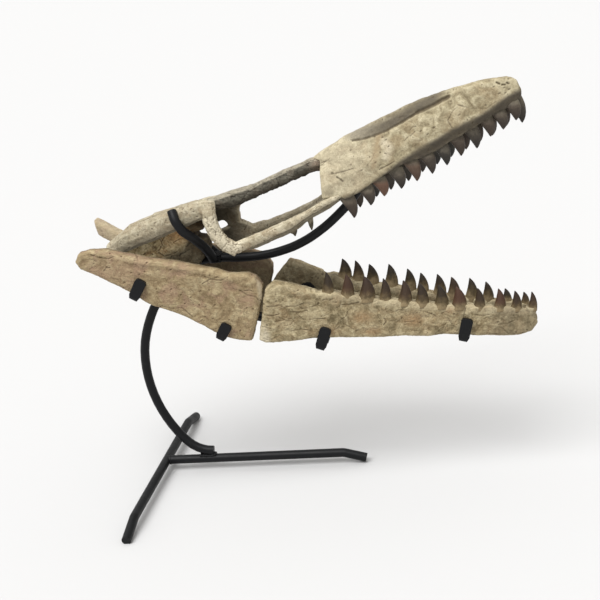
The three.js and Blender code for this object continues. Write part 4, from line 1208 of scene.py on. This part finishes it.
BASE_RING, BASE_BEADS = 3.9, 12
beads = []
for k in range(BASE_BEADS):
    turn = 2 * math.pi * k / BASE_BEADS
    beads.append((-186.2, BASE_RING * math.cos(turn), BASE_Z + BASE_RING * math.sin(turn), 2.0))
weld("base_weld", beads)

beads = [(x, y, 17.2, 1.9 + 0.3 * math.sin(x)) for x in range(-149, -133, 2) for y in (-2.6, 2.6)]
weld("foot_weld", beads + [(-133.4, y, 17.6, 2.4) for y in (-2, 0, 2)])

beads = [(x, y, z, 2.3) for x in range(-103, -92, 2) for z in (249, 252.5, 255.5) for y in (-4.8, 4.8)]
weld("head_weld", beads + [(x, 0, 255.5, 2.2) for x in (-97, -95, -93, -91)])

for name, spine_y in (("a", 9.5), ("b", 9.5), ("c", 0), ("d", 0)):
    x, _, z = on_cross(name)
    x, z = x - 1.2, z - ROD / 2 + 0.9
    beads = [(x + dx, spine_y + dy, z, 1.7) for dx in (-3, -1, 1, 3) for dy in (-2.7, 2.7)]
    weld("spine_weld_" + name, beads)

# Floor, light and camera: a wide pale floor, a soft bright ceiling with one broad light above it, from the
# right and a little behind the skull, and a camera a little above the skull, on its right side.

FLOOR_SIZE, FLOOR_GREY = 60, 0.52
bpy.ops.mesh.primitive_plane_add(size=FLOOR_SIZE)
floor = bpy.context.active_object
floor.name = "floor"
pale = bpy.data.materials.new("pale_floor")
pale.use_nodes = True
surface = pale.node_tree.nodes["Principled BSDF"]
surface.inputs["Base Color"].default_value = (FLOOR_GREY, FLOOR_GREY, FLOOR_GREY, 1)
surface.inputs["Roughness"].default_value = 0.9
floor.data.materials.append(pale)

world = bpy.data.worlds.new("ceiling")
bpy.context.scene.world = world
world.use_nodes = True
tree = world.node_tree
tree.nodes.clear()
toward = node(tree, "TexCoord").outputs["Generated"]
height = node(tree, "SeparateXYZ", {0: toward}).outputs["Z"]
glow = band(tree, height, 0.0, 0.9, 0.5, 1.05)
sky = node(tree, "Background", {"Color": (1.0, 0.99, 0.975, 1), "Strength": glow})
tree.links.new(sky.outputs[0], node(tree, "OutputWorld").inputs[0])

LIGHT_STRENGTH, LIGHT_SPREAD = 3.3, math.radians(48)
LIGHT_UP, LIGHT_BEARING = math.radians(64), math.radians(-118)  # bearing: from the snout toward the left side
bpy.ops.object.light_add(type="SUN")
light = bpy.context.active_object
light.name = "ceiling_light"
light.data.energy = LIGHT_STRENGTH
light.data.angle = LIGHT_SPREAD
level = math.cos(LIGHT_UP)
stand = Vector((level * math.cos(LIGHT_BEARING), level * math.sin(LIGHT_BEARING), math.sin(LIGHT_UP)))
light.rotation_euler = stand.to_track_quat("Z", "Y").to_euler()

CAMERA_PLACE = (0.272154, -1.380161, 0.701716)
CAMERA_RIGHT = Vector((0.98022788, 0.15496647, -0.1230394))
CAMERA_UP = Vector((0.0619248, 0.35032989, 0.93457706))
CAMERA_AHEAD = Vector((-0.18793249, 0.92371768, -0.33380686))
lens = bpy.data.cameras.new("camera")
lens.lens = 84
lens.sensor_width = 36
lens.clip_end = 200
camera = add("camera", lens)
turned = Matrix((CAMERA_RIGHT, CAMERA_UP, -CAMERA_AHEAD)).transposed().to_4x4()
camera.matrix_world = Matrix.Translation(CAMERA_PLACE) @ turned
bpy.context.scene.camera = camera
bpy.context.scene.view_settings.view_transform = "Standard"

bpy.context.view_layer.update()
